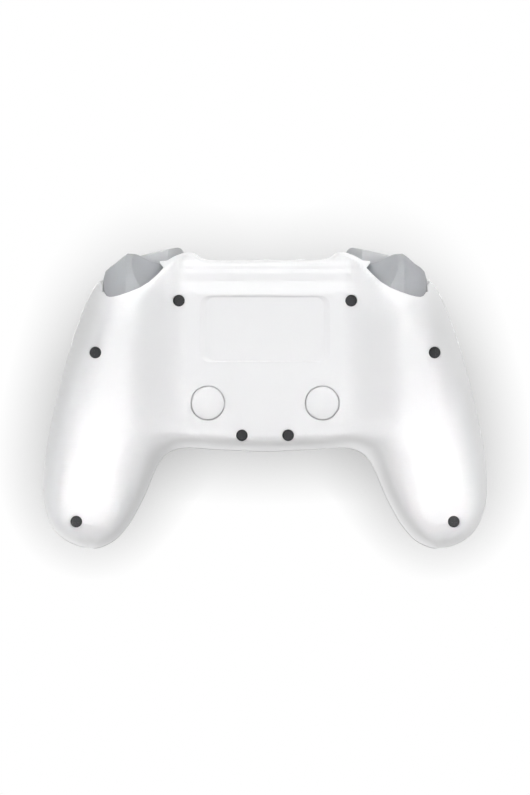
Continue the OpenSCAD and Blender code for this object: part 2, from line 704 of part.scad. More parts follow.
module stick_cap() {
    translate([0, 0, stick_pivot_h]) difference() {
        union() {
            translate([0, 0, stick_shaft_low])
                cylinder(r = stick_shaft_r, h = stick_cap_low + 1 - stick_shaft_low);
            rotate_extrude() polygon(concat(
                [for (a = [10:7.5:85]) stick_dome_r*[sin(a), cos(a)]],
                [for (a = [85:-7.5:10]) (stick_dome_r - stick_dome_wall)*[sin(a), cos(a)]]
            ));
            rotate_extrude() polygon([
                [0, stick_cap_low], [stick_cap_r - 2, stick_cap_low],
                [stick_cap_r - 0.4, stick_cap_low + 1.4], [stick_cap_r, stick_cap_low + 2.8],
                [stick_cap_r - 0.2, stick_rise - 1.8], [stick_cap_r - 1.1, stick_rise - 0.5],
                [stick_cap_r - 2.2, stick_rise], [stick_cap_r - 3.2, stick_rise - 0.4],
                [0, stick_rise - 1.2]
            ]);
        }
        translate([0, 0, stick_shaft_low - 1])
            cylinder(r = stick_post_r + pin_gap, h = stick_bore_top - stick_shaft_low + 1);
    }
}
module left_stick_housing() color("silver") at(left_stick_place) stick_housing();
module right_stick_housing() color("silver") at(right_stick_place) stick_housing();
module left_stick_yoke() color("dimgray") at(left_stick_place) stick_yoke();
module right_stick_yoke() color("dimgray") at(right_stick_place) stick_yoke();
module left_stick_rocker() color("gainsboro") at(left_stick_place) stick_rocker();
module right_stick_rocker() color("gainsboro") at(right_stick_place) stick_rocker();
module left_stick_cap() color("slategray") at(left_stick_place) stick_cap();
module right_stick_cap() color("slategray") at(right_stick_place) stick_cap();
module stick_switches() color("darkslategray") for (p = [left_stick_place, right_stick_place])
    at(p, board_top) block(span(0, 3), [stick_box/2, stick_box/2 + 2.6], [0, 2.2]);

// Direction pad: a cross on a round flange that rocks on a ball, over a rubber mat
dpad_pivot_h = board_top + 4.3;
dpad_ball_r = dpad_ball_d/2;
dpad_top = face_h + dpad_proud;
dpad_flange_low = dpad_pivot_h + 2.1;
dpad_flange_t = 1.3;
dpad_flange_r = dpad_reach + 1.6;
dpad_hole_gap = 0.9;
ball_gap = 0.05;
socket_gap = 0.9;
socket_wall = 1.2;
module cross_outline(gap) {
    for (turn = [0, 90]) rotate(turn) square([2*(dpad_reach + gap), dpad_arm_w + 2*gap], center = true);
}
module dpad() color("slategray") at(dpad_place) difference() {
    union() {
        translate([0, 0, dpad_flange_low]) linear_extrude(dpad_top - dpad_flange_low) cross_outline(0);
        translate([0, 0, dpad_flange_low]) cylinder(r = dpad_flange_r, h = dpad_flange_t);
        translate([0, 0, dpad_pivot_h + socket_gap])
            cylinder(r = dpad_ball_r + socket_wall, h = dpad_flange_low - dpad_pivot_h);
    }
    translate([0, 0, dpad_pivot_h]) sphere(dpad_ball_r + ball_gap);
    translate([0, 0, dpad_top + 9.4]) sphere(10);
}
module dpad_ball() color("silver") at(dpad_place, dpad_pivot_h) sphere(dpad_ball_r);
module dpad_post() color("gainsboro") at(dpad_place) difference() {
    translate([0, 0, board_top])
        cylinder(r = dpad_ball_r + socket_wall, h = dpad_pivot_h - board_top - socket_gap);
    translate([0, 0, dpad_pivot_h]) sphere(dpad_ball_r + ball_gap);
}
dome_reach = 7.4;
mat_t = 0.8;
module dpad_mat() color("darkgray") at(dpad_place, board_top) {
    difference() {
        cylinder(r = dome_reach + 2.6, h = mat_t);
        translate([0, 0, -1]) cylinder(r = dpad_ball_r + socket_wall + seat_gap, h = mat_t + 2);
    }
    for (turn = [0:90:270]) rotate(turn) translate([dome_reach, 0, 0])
        cylinder(r = 2.2, h = dpad_flange_low - seat_gap - board_top);
}

// Round buttons of the face: a crown, a flange under the shell and a stem on a rubber dome
function quarter(turn) = face_button_place + face_button_reach*[cos(turn), sin(turn)];
face_flange_r = face_button_d/2 + 0.85;
flange_t = 1.4;
flange_top = face_in - seat_gap;
module round_button(d, proud, flange_d, stem_d, stem_low) rotate_extrude() polygon([
    [0, stem_low], [stem_d/2, stem_low], [stem_d/2, flange_top - flange_t],
    [flange_d/2, flange_top - flange_t], [flange_d/2, flange_top], [d/2, flange_top],
    [d/2, face_h + proud - 0.7],
    [d/2 - 0.25, face_h + proud - 0.25], [d/2 - 0.8, face_h + proud], [0, face_h + proud + 0.1]
]);
face_dome_top = board_top + 5.4;
small_dome_top = board_top + 4.4;
module face_button(turn) at(quarter(turn))
    round_button(face_button_d, face_button_proud, 2*face_flange_r, 6.6, face_dome_top + seat_gap);
module east_button() color("slategray") face_button(0);
module north_button() color("slategray") face_button(90);
module west_button() color("slategray") face_button(180);
module south_button() color("slategray") face_button(270);
module face_button_mat() color("darkgray") {
    for (turn = [0:90:270]) at(quarter(turn), board_top) {
        cylinder(r = 4.4, h = mat_t);
        cylinder(r = 3, h = face_dome_top - board_top);
    }
    at(face_button_place, board_top) cylinder(r = face_button_reach - 3, h = mat_t);
}
module small_button(p) at(p)
    round_button(small_button_d, small_button_proud, small_button_d + 1.8, 3.6, small_dome_top + seat_gap);
module plus_button() color("slategray") small_button(plus_place);
module minus_button() color("slategray") small_button(mirrored(plus_place, -1));
module home_button() color("slategray") small_button(home_place);
module capture_button() color("slategray") small_button(mirrored(home_place, -1));
module small_button_domes() color("darkgray") both_sides() for (p = [plus_place, home_place])
    at(p, board_top) cylinder(r = 2.2, h = small_dome_top - board_top);

// Player lights: four pills on one bar behind the face
light_l = 1.4;
bar_t = 1.2;
module pill_row(gap) {
    for (k = [-1.5:1:1.5]) translate([k*light_pitch, 0]) stadium(light_w + 2*gap, light_l + 2*gap);
}
module player_lights() color("palegreen") at(lights_place) {
    translate([0, 0, face_in - bar_t]) linear_extrude(bar_t)
        square([4*light_pitch, light_l + 2], center = true);
    translate([0, 0, face_in - 0.1]) linear_extrude(wall - 0.1) pill_row(0);
}

// Main board, with chips on its lower face
boss_room = 0.5;
board_screw_r = 0.9;
board_boss_r = 2.3;
board_edge = -15;
board_front = 43.5;
board_half = 25;
board_wing = [[35, -10, 40], [54, 5.5, 24]];
module board_outline() {
    difference() {
        union() {
            translate([-board_half, board_edge]) square([2*board_half, board_front - board_edge]);
            for (w = board_wing) translate([-w[0], w[1]]) square([2*w[0], w[2]]);
        }
        for (p = screw_places, s = sides) translate(mirrored(p, s)) circle(boss_r + boss_room);
        for (p = board_screw_places) translate(p) circle(board_screw_r + pin_gap);
    }
}
module main_board() color("seagreen") translate([0, 0, board_low]) linear_extrude(board_t) board_outline();
module board_chips() color("darkslategray") translate([0, 0, board_low]) {
    block([-4, 4], [12, 20], [-1, 0]);
    block([-18, -6], [33, 43], [-2, 0]);
    block([9, 15], [36, 41], [-1.4, 0]);
    block([30, 35], [12, 16], [-1.2, 0]);
    block([-35, -30], [12, 16], [-1.2, 0]);
}
board_screw_len = 6;
module board_screws() color("silver") for (p = board_screw_places) at(p, board_low) {
    translate([0, 0, -1.3]) cylinder(r = 1.7, h = 1.3);
    cylinder(r = board_screw_r, h = board_t + board_screw_len);
}
module board_bosses() {
    for (p = board_screw_places) at(p, board_top)
        cylinder(r = board_boss_r, h = face_in + wall/2 - board_top);
}
module board_pilots() {
    for (p = board_screw_places) at(p, board_top - 1)
        cylinder(r = board_screw_r + pin_gap, h = board_screw_len + 1.3);
}

// USB-C socket on the board, behind a slot in the top edge
usb_w = 8.94;
usb_t = 3.2;
usb_wall = 0.3;
usb_mouth = 47;
usb_back = 40;
usb_h = board_top + usb_t/2;
top_edge = outer_edge[0].y;
module facing_y(y, h, z, x = 0) { translate([x, y, z]) rotate([90, 0, 0]) linear_extrude(h) children(); }
module usb_socket() color("silver") {
    difference() {
        facing_y(usb_mouth, usb_mouth - usb_back, usb_h) stadium(usb_w, usb_t);
        facing_y(usb_mouth + 1, usb_mouth - usb_back, usb_h)
            stadium(usb_w - 2*usb_wall, usb_t - 2*usb_wall);
    }
    block([-3.3, 3.3], [usb_back + 0.9, usb_mouth - 0.8], span(usb_h, 0.35));
}
usb_recess_w = 11.4;
usb_recess = 0.8;
module usb_slot() {
    facing_y(top_edge + 1, 5, usb_h) stadium(usb_w + 2*move_gap, usb_t + 2*move_gap);
    facing_y(top_edge + 3, 3 + usb_recess, usb_h) stadium(usb_recess_w, usb_t + 2.4);
}

// Pairing button in the top edge, and the switch behind it
pairing_d = 3.2;
pairing_h = board_top + 2.8;
pairing_proud = 0.3;
pairing_flange = 44.3;
pairing_back = pairing_flange - 1.2;
module pairing_button() color("whitesmoke") translate([pairing_x, 0, pairing_h]) {
    along_y(pairing_back, top_edge + pairing_proud, pairing_d/2);
    along_y(pairing_back, pairing_flange, pairing_d/2 + 0.7);
}
pairing_travel = 0.5;
switch_front = pairing_back - pairing_travel - 0.1;
module pairing_switch() color("darkslategray") translate([pairing_x, 0, board_top])
    block(span(0, 2.5), [switch_front - 3, switch_front], [0, 3.4]);
module pairing_hole() {
    translate([pairing_x, 0, pairing_h]) {
        along_y(pairing_flange, far, pairing_d/2 + move_gap);
        along_y(pairing_flange - 2, pairing_flange + seat_gap, pairing_d/2 + 1.1);
    }
}

// Rear shell: skin, columns, posts, ribs and saddles, then wells and openings
module rear_shell() color("white") difference() {
    union() {
        shell(false);
        both_sides() {
            screw_columns();
            back_posts();
            battery_ribs();
            motor_saddles();
        }
    }
    both_sides() {
        screw_wells();
        at(back_place, -far) cylinder(d = back_d + 2*move_gap, h = far + back_flange_low);
        trigger_pocket();
    }
    at(label_place, -far) linear_extrude(far + panel_h + label_deep) rounded(label_w, label_l, label_r);
    block([-far, far], [-far, far], [-far, 0]);
}

// Front shell: skin, bosses and seats, then the openings of the face and the edges
module front_shell() color("white") difference() {
    union() {
        shell(true);
        board_bosses();
        both_sides() {
            screw_bosses();
            bumper_shelf();
            at(foot_place, plate_top) cylinder(r = foot_boss_r, h = face_in + wall/2 - plate_top);
        }
    }
    board_pilots();
    both_sides() {
        screw_pilots();
        trigger_pocket();
        bumper_pocket();
        at(bumper_pin_place, pin_low) cylinder(d = bumper_pin_d + 2*pin_gap, h = pin_high - pin_low);
        at(foot_place, plate_top - 1)
            cylinder(r = foot_screw_r + pin_gap, h = foot_screw_len - foot_t + 1.3);
        for (p = [plus_place, home_place]) at(p) cylinder(d = small_button_d + 2*move_gap, h = far);
    }
    for (p = [left_stick_place, right_stick_place]) at(p, board_top) {
        cylinder(r = stick_hole_r, h = far);
        translate([0, 0, stick_pivot_h - board_top]) sphere(stick_dome_r + move_gap);
    }
    for (turn = [0:90:270]) at(quarter(turn)) cylinder(d = face_button_d + 2*move_gap, h = far);
    at(dpad_place, dpad_flange_low) {
        linear_extrude(far) cross_outline(dpad_hole_gap);
        cylinder(r = dpad_flange_r + 2*move_gap, h = face_in - dpad_flange_low);
    }
    at(lights_place, face_in - 1) linear_extrude(far) pill_row(pin_gap);
    usb_slot();
    pairing_hole();
}

rear_shell();
front_shell();
rear_screws();
main_board();
board_chips();
board_screws();
usb_socket();
pairing_switch();
pairing_button();
battery_pack();
back_button_board();
back_button_domes();
left_back_button();
right_back_button();
left_trigger();
right_trigger();
left_trigger_pin();
right_trigger_pin();
left_trigger_spring();
right_trigger_spring();
left_trigger_bracket();
right_trigger_bracket();
bracket_screws();
left_bumper();
right_bumper();
left_bumper_pin();
right_bumper_pin();
bumper_switches();
left_rumble_motor();
right_rumble_motor();
left_rumble_weight();
right_rumble_weight();
left_stick_housing();
right_stick_housing();
stick_switches();
left_stick_yoke();
right_stick_yoke();
left_stick_rocker();
right_stick_rocker();
left_stick_cap();
right_stick_cap();
dpad();
dpad_ball();
dpad_post();
dpad_mat();
north_button();
east_button();
south_button();
west_button();
face_button_mat();
minus_button();
plus_button();
capture_button();
home_button();
small_button_domes();
player_lights();
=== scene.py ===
# %% [markdown]
# # A two-grip gamepad, dressed around its solids
# The pad lies on its back with the face up: X runs to the player's right, Y toward the bumpers
# and Z out of the face. The picture to match looks straight at the back, so the camera stands
# below the pad and looks up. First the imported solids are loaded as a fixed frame. Every piece
# made here is placed in that same frame, so nothing has to be fitted afterwards.

# %% Load the frame
import json
import math

import bmesh
import bpy
import numpy as np
from mathutils import Matrix, Vector


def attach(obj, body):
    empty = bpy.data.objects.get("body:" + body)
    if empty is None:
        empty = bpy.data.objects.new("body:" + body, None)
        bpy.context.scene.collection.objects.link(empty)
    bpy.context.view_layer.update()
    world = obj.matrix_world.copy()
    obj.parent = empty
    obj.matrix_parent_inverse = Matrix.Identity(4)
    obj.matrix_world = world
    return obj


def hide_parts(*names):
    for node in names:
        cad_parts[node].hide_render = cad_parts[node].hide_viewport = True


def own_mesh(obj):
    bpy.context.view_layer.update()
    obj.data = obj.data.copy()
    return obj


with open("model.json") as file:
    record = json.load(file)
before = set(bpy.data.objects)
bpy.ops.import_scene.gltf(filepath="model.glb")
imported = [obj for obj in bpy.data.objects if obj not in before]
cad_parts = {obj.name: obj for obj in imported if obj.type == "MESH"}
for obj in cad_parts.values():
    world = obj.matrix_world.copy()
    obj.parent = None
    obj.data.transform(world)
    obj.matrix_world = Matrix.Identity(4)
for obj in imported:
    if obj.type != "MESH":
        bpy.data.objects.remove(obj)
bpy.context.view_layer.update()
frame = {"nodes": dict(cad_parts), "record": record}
nodes = frame["nodes"]

# %% [markdown]
# ## Camera
# The back is shown square on and with hardly any perspective, as through a very long lens.
# The picture is 530 pixels wide and 795 high, and the pad is 444 pixels wide in it, so one pixel
# is about a third of a millimetre at the pad. The camera's distance follows from that scale.
# Turned half round its Y axis, a camera looks along +Z and keeps +Y up, so image left is +X.

# %% Camera
MM = 0.001
PICTURE_HEIGHT = 795
PIXEL = 0.34685 * MM
FOCUS_HEIGHT = 15 * MM
LENS = 250
camera_data = bpy.data.cameras.new("camera")
camera_data.lens = LENS
distance = PICTURE_HEIGHT * PIXEL * LENS / camera_data.sensor_width
camera = bpy.data.objects.new("camera", camera_data)
camera.location = (0, 0, FOCUS_HEIGHT - distance)
camera.rotation_euler = (0, math.pi, 0)
camera_data.clip_end = 20
bpy.context.scene.collection.objects.link(camera)
bpy.context.scene.camera = camera
bpy.context.scene.view_settings.view_transform = "Standard"
print("camera distance:", round(distance, 3), "m")

# %% [markdown]
# ## Helpers for meshes
# Pieces are shaped in millimetres, because the solids were drawn that way, and are scaled to
# metres at the end. A boolean needs real objects, so `carve` makes two for a moment, reads the
# result back into a bmesh and removes them. `soften` rounds every edge that is sharper than an
# angle: moulded plastic never has a perfectly sharp edge, and that thin rounding is what
# catches the light.

# %% Mesh helpers
LEFT, RIGHT = -1, 1
SIDES = {"left": LEFT, "right": RIGHT}


def mesh_object(bm, name):
    """Links the bmesh as an object and frees it."""
    mesh = bpy.data.meshes.new(name)
    bm.to_mesh(mesh)
    bm.free()
    obj = bpy.data.objects.new(name, mesh)
    bpy.context.scene.collection.objects.link(obj)
    return obj


def carve(bm, tool, operation="DIFFERENCE"):
    """The bmesh after a boolean with the tool; both are used up."""
    body, cutter = mesh_object(bm, "carved"), mesh_object(tool, "tool")
    cut = body.modifiers.new("cut", "BOOLEAN")
    cut.object = cutter
    cut.operation = operation
    cut.solver = "EXACT"
    result = bmesh.new()
    result.from_object(body, bpy.context.evaluated_depsgraph_get())
    for obj in (body, cutter):
        mesh = obj.data
        bpy.data.objects.remove(obj)
        bpy.data.meshes.remove(mesh)
    return result


def joined(parts):
    """One bmesh from several, side by side."""
    whole = bmesh.new()
    for part in parts:
        mesh = bpy.data.meshes.new("part")
        part.to_mesh(mesh)
        part.free()
        whole.from_mesh(mesh)
        bpy.data.meshes.remove(mesh)
    return whole


def moved(bm, x=0, y=0, z=0):
    bmesh.ops.translate(bm, vec=(x, y, z), verts=bm.verts)
    return bm


def sided(bm, side):
    """The piece as it is for the right side, or its mirror image for the left."""
    if side == LEFT:
        bmesh.ops.scale(bm, vec=(-1, 1, 1), verts=bm.verts)
        bmesh.ops.reverse_faces(bm, faces=bm.faces)
    return bm


def soften(bm, offset, segments=3, above=25, where=lambda edge: True):
    """Bevels the edges that turn by more than an angle in degrees."""
    limit = math.radians(above)
    edges = [e for e in bm.edges if e.is_manifold and e.calc_face_angle() > limit and where(e)]
    bmesh.ops.bevel(
        bm, geom=edges, offset=offset, offset_type="OFFSET", affect="EDGES",
        segments=segments, profile=0.5, material=-1, clamp_overlap=True,
    )
    return bm


# %% Turned and upright solids
def lathe(profile, steps=96):
    """A turned solid about Z from (radius, height) points that start and end on the axis."""
    bm = bmesh.new()
    points = [bm.verts.new((r, 0, z)) for r, z in profile]
    edges = [bm.edges.new(pair) for pair in zip(points, points[1:])]
    bmesh.ops.spin(
        bm, geom=points + edges, cent=(0, 0, 0), axis=(0, 0, 1), angle=math.tau,
        steps=steps, use_merge=True,
    )
    bmesh.ops.remove_doubles(bm, verts=bm.verts, dist=1e-4)
    bmesh.ops.recalc_face_normals(bm, faces=bm.faces)
    return bm


def prism(outline, low, high):
    """A closed upright prism over a flat outline."""
    bm = bmesh.new()
    base = bm.faces.new([bm.verts.new((x, y, low)) for x, y in outline])
    raised = bmesh.ops.extrude_face_region(bm, geom=[base], use_keep_orig=True)["geom"]
    top = [v for v in raised if isinstance(v, bmesh.types.BMVert)]
    bmesh.ops.translate(bm, vec=(0, 0, high - low), verts=top)
    bmesh.ops.recalc_face_normals(bm, faces=bm.faces)
    return bm


def grown(outline, by):
    """The outline with every side moved out by a distance, or in by a negative one."""
    points = np.array(outline, float)
    ahead = np.roll(points, -1, 0) - points
    ahead /= np.linalg.norm(ahead, axis=1)[:, None]
    after = np.roll(points, -1, 0)
    area = (points[:, 0] * after[:, 1] - after[:, 0] * points[:, 1]).sum()
    out = np.sign(area) * np.column_stack([ahead[:, 1], -ahead[:, 0]])
    before = np.roll(out, 1, 0)
    share = np.maximum(1 + (out * before).sum(1), 0.4)
    return [tuple(p) for p in points + by * (out + before) / share[:, None]]


# %% Adding a piece
SLOT_OF = {s["node"]: s["material_slot"] for s in frame["record"]["subparts"]}


def add_piece(bm, name, body, material, node, smooth=35):
    """Scales the bmesh to metres and makes it a piece that stands for a solid."""
    bmesh.ops.scale(bm, vec=(MM, MM, MM), verts=bm.verts)
    obj = mesh_object(bm, name)
    obj.data.shade_smooth()
    obj.data.set_sharp_from_angle(angle=math.radians(smooth))
    obj.data.materials.append(material)
    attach(obj, body)
    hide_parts(node)
    print(name, "faces:", len(obj.data.polygons))
    return obj


print("material slots:", len(set(SLOT_OF.values())))

# %% [markdown]
# ## Finishes
# Moulded plastic has a very fine grain from the tool, and its gloss drifts a little over the
# surface. That is one effect with different values, so it is one node group, placed in each
# material: a fine noise for the grain's height, a broad one for colour and gloss. The group is
# given Object coordinates, so the grain stays on the piece and is as fine on a button as on a
# shell. The shader itself stays in each material.

# %% Moulded grain group
grain = bpy.data.node_groups.new("moulded_grain", "ShaderNodeTree")
for name, kind, value in (
    ("Place", "NodeSocketVector", None), ("Color", "NodeSocketColor", (1, 1, 1, 1)),
    ("Fleck", "NodeSocketFloat", 0.03), ("Roughness", "NodeSocketFloat", 0.4),
    ("Drift", "NodeSocketFloat", 0.06), ("Grain", "NodeSocketFloat", 4000.0),
):
    socket = grain.interface.new_socket(name, in_out="INPUT", socket_type=kind)
    if value is not None:
        socket.default_value = value
for name, kind in (
    ("Color", "NodeSocketColor"), ("Roughness", "NodeSocketFloat"), ("Height", "NodeSocketFloat"),
):
    grain.interface.new_socket(name, in_out="OUTPUT", socket_type=kind)


def wire(tree, pairs):
    for start, end in pairs:
        tree.links.new(start, end)


def math_node(tree, operation, a=None, b=None, clamp=False):
    node = tree.nodes.new("ShaderNodeMath")
    node.operation = operation
    node.use_clamp = clamp
    for socket, value in zip(node.inputs, (a, b)):
        if isinstance(value, bpy.types.NodeSocket):
            tree.links.new(value, socket)
        elif value is not None:
            socket.default_value = value
    return node.outputs[0]


def noise_node(tree, place, scale, detail=3.0):
    node = tree.nodes.new("ShaderNodeTexNoise")
    node.inputs["Detail"].default_value = detail
    tree.links.new(place, node.inputs["Vector"])
    if isinstance(scale, bpy.types.NodeSocket):
        tree.links.new(scale, node.inputs["Scale"])
    else:
        node.inputs["Scale"].default_value = scale
    return node.outputs["Fac"]


given = grain.nodes.new("NodeGroupInput").outputs
result = grain.nodes.new("NodeGroupOutput").inputs
broad = math_node(grain, "SUBTRACT", noise_node(grain, given["Place"], 45.0), 0.5)
fine = noise_node(grain, given["Place"], given["Grain"], 2.0)
shade = math_node(grain, "MULTIPLY_ADD", broad, given["Fleck"])
shade.node.inputs[2].default_value = 1.0
tint = grain.nodes.new("ShaderNodeVectorMath")
tint.operation = "SCALE"
gloss = math_node(grain, "MULTIPLY", broad, given["Drift"])
wire(grain, (
    (given["Color"], tint.inputs[0]), (shade, tint.inputs["Scale"]), (tint.outputs[0], result["Color"]),
    (math_node(grain, "ADD", gloss, given["Roughness"]), result["Roughness"]), (fine, result["Height"]),
))
print("grain group nodes:", len(grain.nodes))

# %% [markdown]
# Each finish is a Principled BSDF fed by that group. The values that are the same all over, such
# as metallic or coat, are set on the shader's own sockets. The white shells are satin with a thin
# clear gloss, the grey controls are a cool semi-matt plastic, and the screws are blackened steel.

# %% Finishes
def finish(name, color, roughness, fleck=0.03, drift=0.06, grain_scale=4000.0, depth=0.02, **shader):
    made = bpy.data.materials.new(name)
    made.use_nodes = True
    tree = made.node_tree
    surface = tree.nodes["Principled BSDF"]
    place = tree.nodes.new("ShaderNodeTexCoord").outputs["Object"]
    group = tree.nodes.new("ShaderNodeGroup")
    group.node_tree = grain
    for key, value in (
        ("Color", (*color, 1)), ("Fleck", fleck), ("Roughness", roughness),
        ("Drift", drift), ("Grain", grain_scale),
    ):
        group.inputs[key].default_value = value
    bump = tree.nodes.new("ShaderNodeBump")
    bump.inputs["Distance"].default_value = depth * MM
    bump.inputs["Strength"].default_value = 0.5
    wire(tree, (
        (place, group.inputs["Place"]), (group.outputs["Color"], surface.inputs["Base Color"]),
        (group.outputs["Roughness"], surface.inputs["Roughness"]),
        (group.outputs["Height"], bump.inputs["Height"]),
        (bump.outputs["Normal"], surface.inputs["Normal"]),
    ))
    for key, value in shader.items():
        surface.inputs[key.replace("_", " ").title().replace("Ior", "IOR")].default_value = value
    return made


shell_white = finish(
    "shell_white", (0.86, 0.86, 0.865), 0.42, fleck=0.015, depth=0.004,
    coat_weight=0.3, coat_roughness=0.35,
)
control_grey = finish("control_grey", (0.37, 0.38, 0.395), 0.4, fleck=0.05, depth=0.006)
# The bumpers get the controls' grey plastic painted lighter. This is painted light that makes up for the
# shade in their pockets.
bumper_grey_painted_lighter = finish("bumper_grey_painted_lighter", (0.54, 0.55, 0.56), 0.42, fleck=0.05, depth=0.006)
stick_rubber = finish("stick_rubber", (0.10, 0.105, 0.115), 0.7, fleck=0.1, grain_scale=2500.0, depth=0.03)
screw_black = finish(
    "screw_black", (0.045, 0.045, 0.047), 0.6, fleck=0.3, drift=0.2, depth=0.01, metallic=0.5,
)
plain_steel = finish(
    "plain_steel", (0.62, 0.62, 0.63), 0.32, fleck=0.15, drift=0.2, depth=0.004, metallic=1.0,
)
board_green = finish("board_green", (0.02, 0.13, 0.06), 0.4, fleck=0.5, drift=0.2, grain_scale=900.0)
chip_black = finish("chip_black", (0.02, 0.02, 0.022), 0.6, fleck=0.3)
battery_wrap = finish("battery_wrap", (0.03, 0.07, 0.22), 0.35, fleck=0.1)
dome_rubber = finish("dome_rubber", (0.16, 0.16, 0.17), 0.75, fleck=0.1, depth=0.02)
inner_plastic = finish("inner_plastic", (0.6, 0.6, 0.6), 0.5, fleck=0.05)
light_pipe = finish("light_pipe", (0.72, 0.85, 0.74), 0.25, fleck=0.04, transmission_weight=0.35)
FINISH_OF_SLOT = {
    "shell_white": shell_white, "control_grey": control_grey, "stick_grey": stick_rubber,
    "dark_screw": screw_black, "steel": plain_steel, "board_green": board_green, "chip_black": chip_black,
    "battery_blue": battery_wrap, "dome_rubber": dome_rubber, "inner_plastic": inner_plastic,
    "light_pipe": light_pipe,
}
for node_name, obj in nodes.items():
    obj.data.materials.clear()
    obj.data.materials.append(FINISH_OF_SLOT[SLOT_OF[node_name]])
print("finishes:", len(FINISH_OF_SLOT))

# %% [markdown]
# ## The outline
# Both shells share one outline. It is drawn as two smooth curves on the right half, from the
# middle of the pad to the tip of the grip: the outer one over the shoulder, the inner one round
# the palm side. The solids use the same points with coarser steps. Here they are sampled finely,
# and the distance from a point to the outline decides how far the rounded edge has risen there.

# %% Outline
OUTER = np.array([
    [0, 48.2], [19.5, 48.2], [26, 50.8], [36, 48.4], [49, 45], [58.6, 39.6], [64.9, 26.5],
    [70.1, 9.9], [74.3, -7.5], [76.8, -22.5], [76.6, -37.5], [71.4, -48], [61, -52.5],
])
INNER = np.array([
    [0, -18.9], [17, -18.3], [25.5, -17.7], [30.5, -18.1], [33.8, -19.6], [35.9, -21.6], [37.6, -24.4],
    [39.2, -28], [41.2, -33], [43.8, -38.4], [47.6, -44.8], [53, -50.3], [61, -52.5],
])
LAST = len(OUTER) - 1


def edge_curve(edge, other, at):
    """Points of a smooth curve through the edge; the other edge carries it on past the tip."""
    i = np.minimum(at.astype(int), LAST - 1)
    t = (at - i)[:, None]
    before = np.vstack([edge[1] * (-1, 1), edge])
    after = np.vstack([edge, other[-2]])
    p0, p1, p2, p3 = before[i], edge[i], edge[i + 1], after[i + 2]
    return 0.5 * (
        2 * p1 + (p2 - p0) * t + (2 * p0 - 5 * p1 + 4 * p2 - p3) * t**2
        + (3 * p1 - p0 - 3 * p2 + p3) * t**3
    )


rim_steps = np.linspace(0, LAST, 16 * LAST + 1)
OUTER_RIM = edge_curve(OUTER, INNER, rim_steps)
INNER_RIM = edge_curve(INNER, OUTER, rim_steps)


def distance_to(line, p):
    a, ab = line[:-1], line[1:] - line[:-1]
    from_a = p[:, None] - a
    t = np.clip((from_a * ab).sum(-1) / (ab * ab).sum(-1), 0, 1)
    return np.linalg.norm(from_a - t[..., None] * ab, axis=-1).min(1)


MELD = 6


def rim_distance(p):
    """Distance to the outline, with the crease half-way between its two edges smoothed out."""
    q = np.column_stack([np.abs(p[:, 0]), p[:, 1]])
    outer, inner = distance_to(OUTER_RIM, q), distance_to(INNER_RIM, q)
    meld = np.clip(0.45 * (outer + inner), 1e-3, MELD)
    share = np.clip(0.5 + 0.5 * (inner - outer) / meld, 0, 1)
    return inner + (outer - inner) * share - meld * share * (1 - share)


print("outline points:", 2 * len(rim_steps))

# %% [markdown]
# ## Heights of the back and the face
# A rounded edge rises from the parting line like a quarter of an ellipse. How far it reaches in,
# and how deep the back goes, changes from the flat panel in the middle to the round grips. The
# values are those of the solids. Toward the top edge the panel falls away in three shallow slopes
# with level ledges between them, which show as bright and grey bands under a light from above.

# %% Heights
FACE_H, PART_H, PANEL_H, DROOP, FALL = 41, 25, 9.5, 7, 3.5
REST_FLAT, GRIP_ROUND, TOP_ROUND, BOTTOM_ROUND = 0.25, 17, 1.8, 6
BANDS = [(35.7, 40.2, 0.24), (43.1, 44.5, 0.3), (45.6, 47.4, 0.3)]
BANDS_END, BANDS_FADE = 29, 4
FACE_ROUND, FACE_GRIP_ROUND, WALL, EDGE_LIP = 8, 14, 2.2, 0.3
PANEL_POWER, FACE_POWER = 2.3, 2.2


def smooth(t):
    u = np.clip(t, 0, 1)
    return u * u * (3 - 2 * u)


def mix(a, b, t):
    return a + (b - a) * t


def rise(d, reach, power):
    """Share of its height that a rounded edge has reached at a distance from the outline."""
    return (1 - (1 - np.clip(d / reach, 0, 1)) ** power) ** (1 / power)


def grip_share(p):
    """How much a point belongs to a grip, from 0 to 1. Lower down, the grips start further in."""
    return smooth((np.abs(p[:, 0]) - (27 - 17 * smooth((-6 - p[:, 1]) / 18))) / 22)


def droop_share(y):
    """How far the grips have drooped, from 0 at the palm to 1 near their tips."""
    return smooth((-10 - y) / 42)


def parting(y):
    return PART_H - DROOP * droop_share(y)


def grip_power(y):
    """A grip's section is an ellipse at the shoulder and a little squarer lower down."""
    return 2 + 0.6 * smooth((24 - y) / 20)


def grip_reach(y):
    """How far in a grip's rounding reaches, less toward its narrow tip."""
    return GRIP_ROUND * (1 - 0.42 * smooth((-18 - y) / 28))


def band_fall(p):
    """How far the slopes under the top edge have fallen away from the panel."""
    fall = sum(slope * (np.clip(p[:, 1], low, high) - low) for low, high, slope in BANDS)
    return fall * (1 - smooth((np.abs(p[:, 0]) - BANDS_END) / BANDS_FADE))


def back_height(p, inset=0.0, wall=0.0):
    g, y, off = grip_share(p), p[:, 1], inset + wall
    reach = mix(mix(BOTTOM_ROUND, TOP_ROUND, smooth((y + 5) / 30)), grip_reach(y), g)
    depth = mix(PART_H - PANEL_H - band_fall(p), parting(y) + REST_FLAT, g)
    reach, d = np.maximum(reach - off, TOP_ROUND / 2), rim_distance(p) - off
    risen = (depth - wall) * rise(d, reach, mix(PANEL_POWER, grip_power(y), g))
    return np.maximum(parting(y) - risen - EDGE_LIP * np.minimum(d, 0), wall)


def face_height(p, inset=0.0, wall=0.0):
    g, y, off = grip_share(p), p[:, 1], inset + wall
    reach = mix(FACE_ROUND, FACE_GRIP_ROUND, g * droop_share(y - 10))
    height, d = FACE_H - PART_H - FALL * droop_share(y), rim_distance(p) - off
    return parting(y) + (height - wall) * rise(d, reach - off, FACE_POWER) + EDGE_LIP * np.minimum(d, 0)


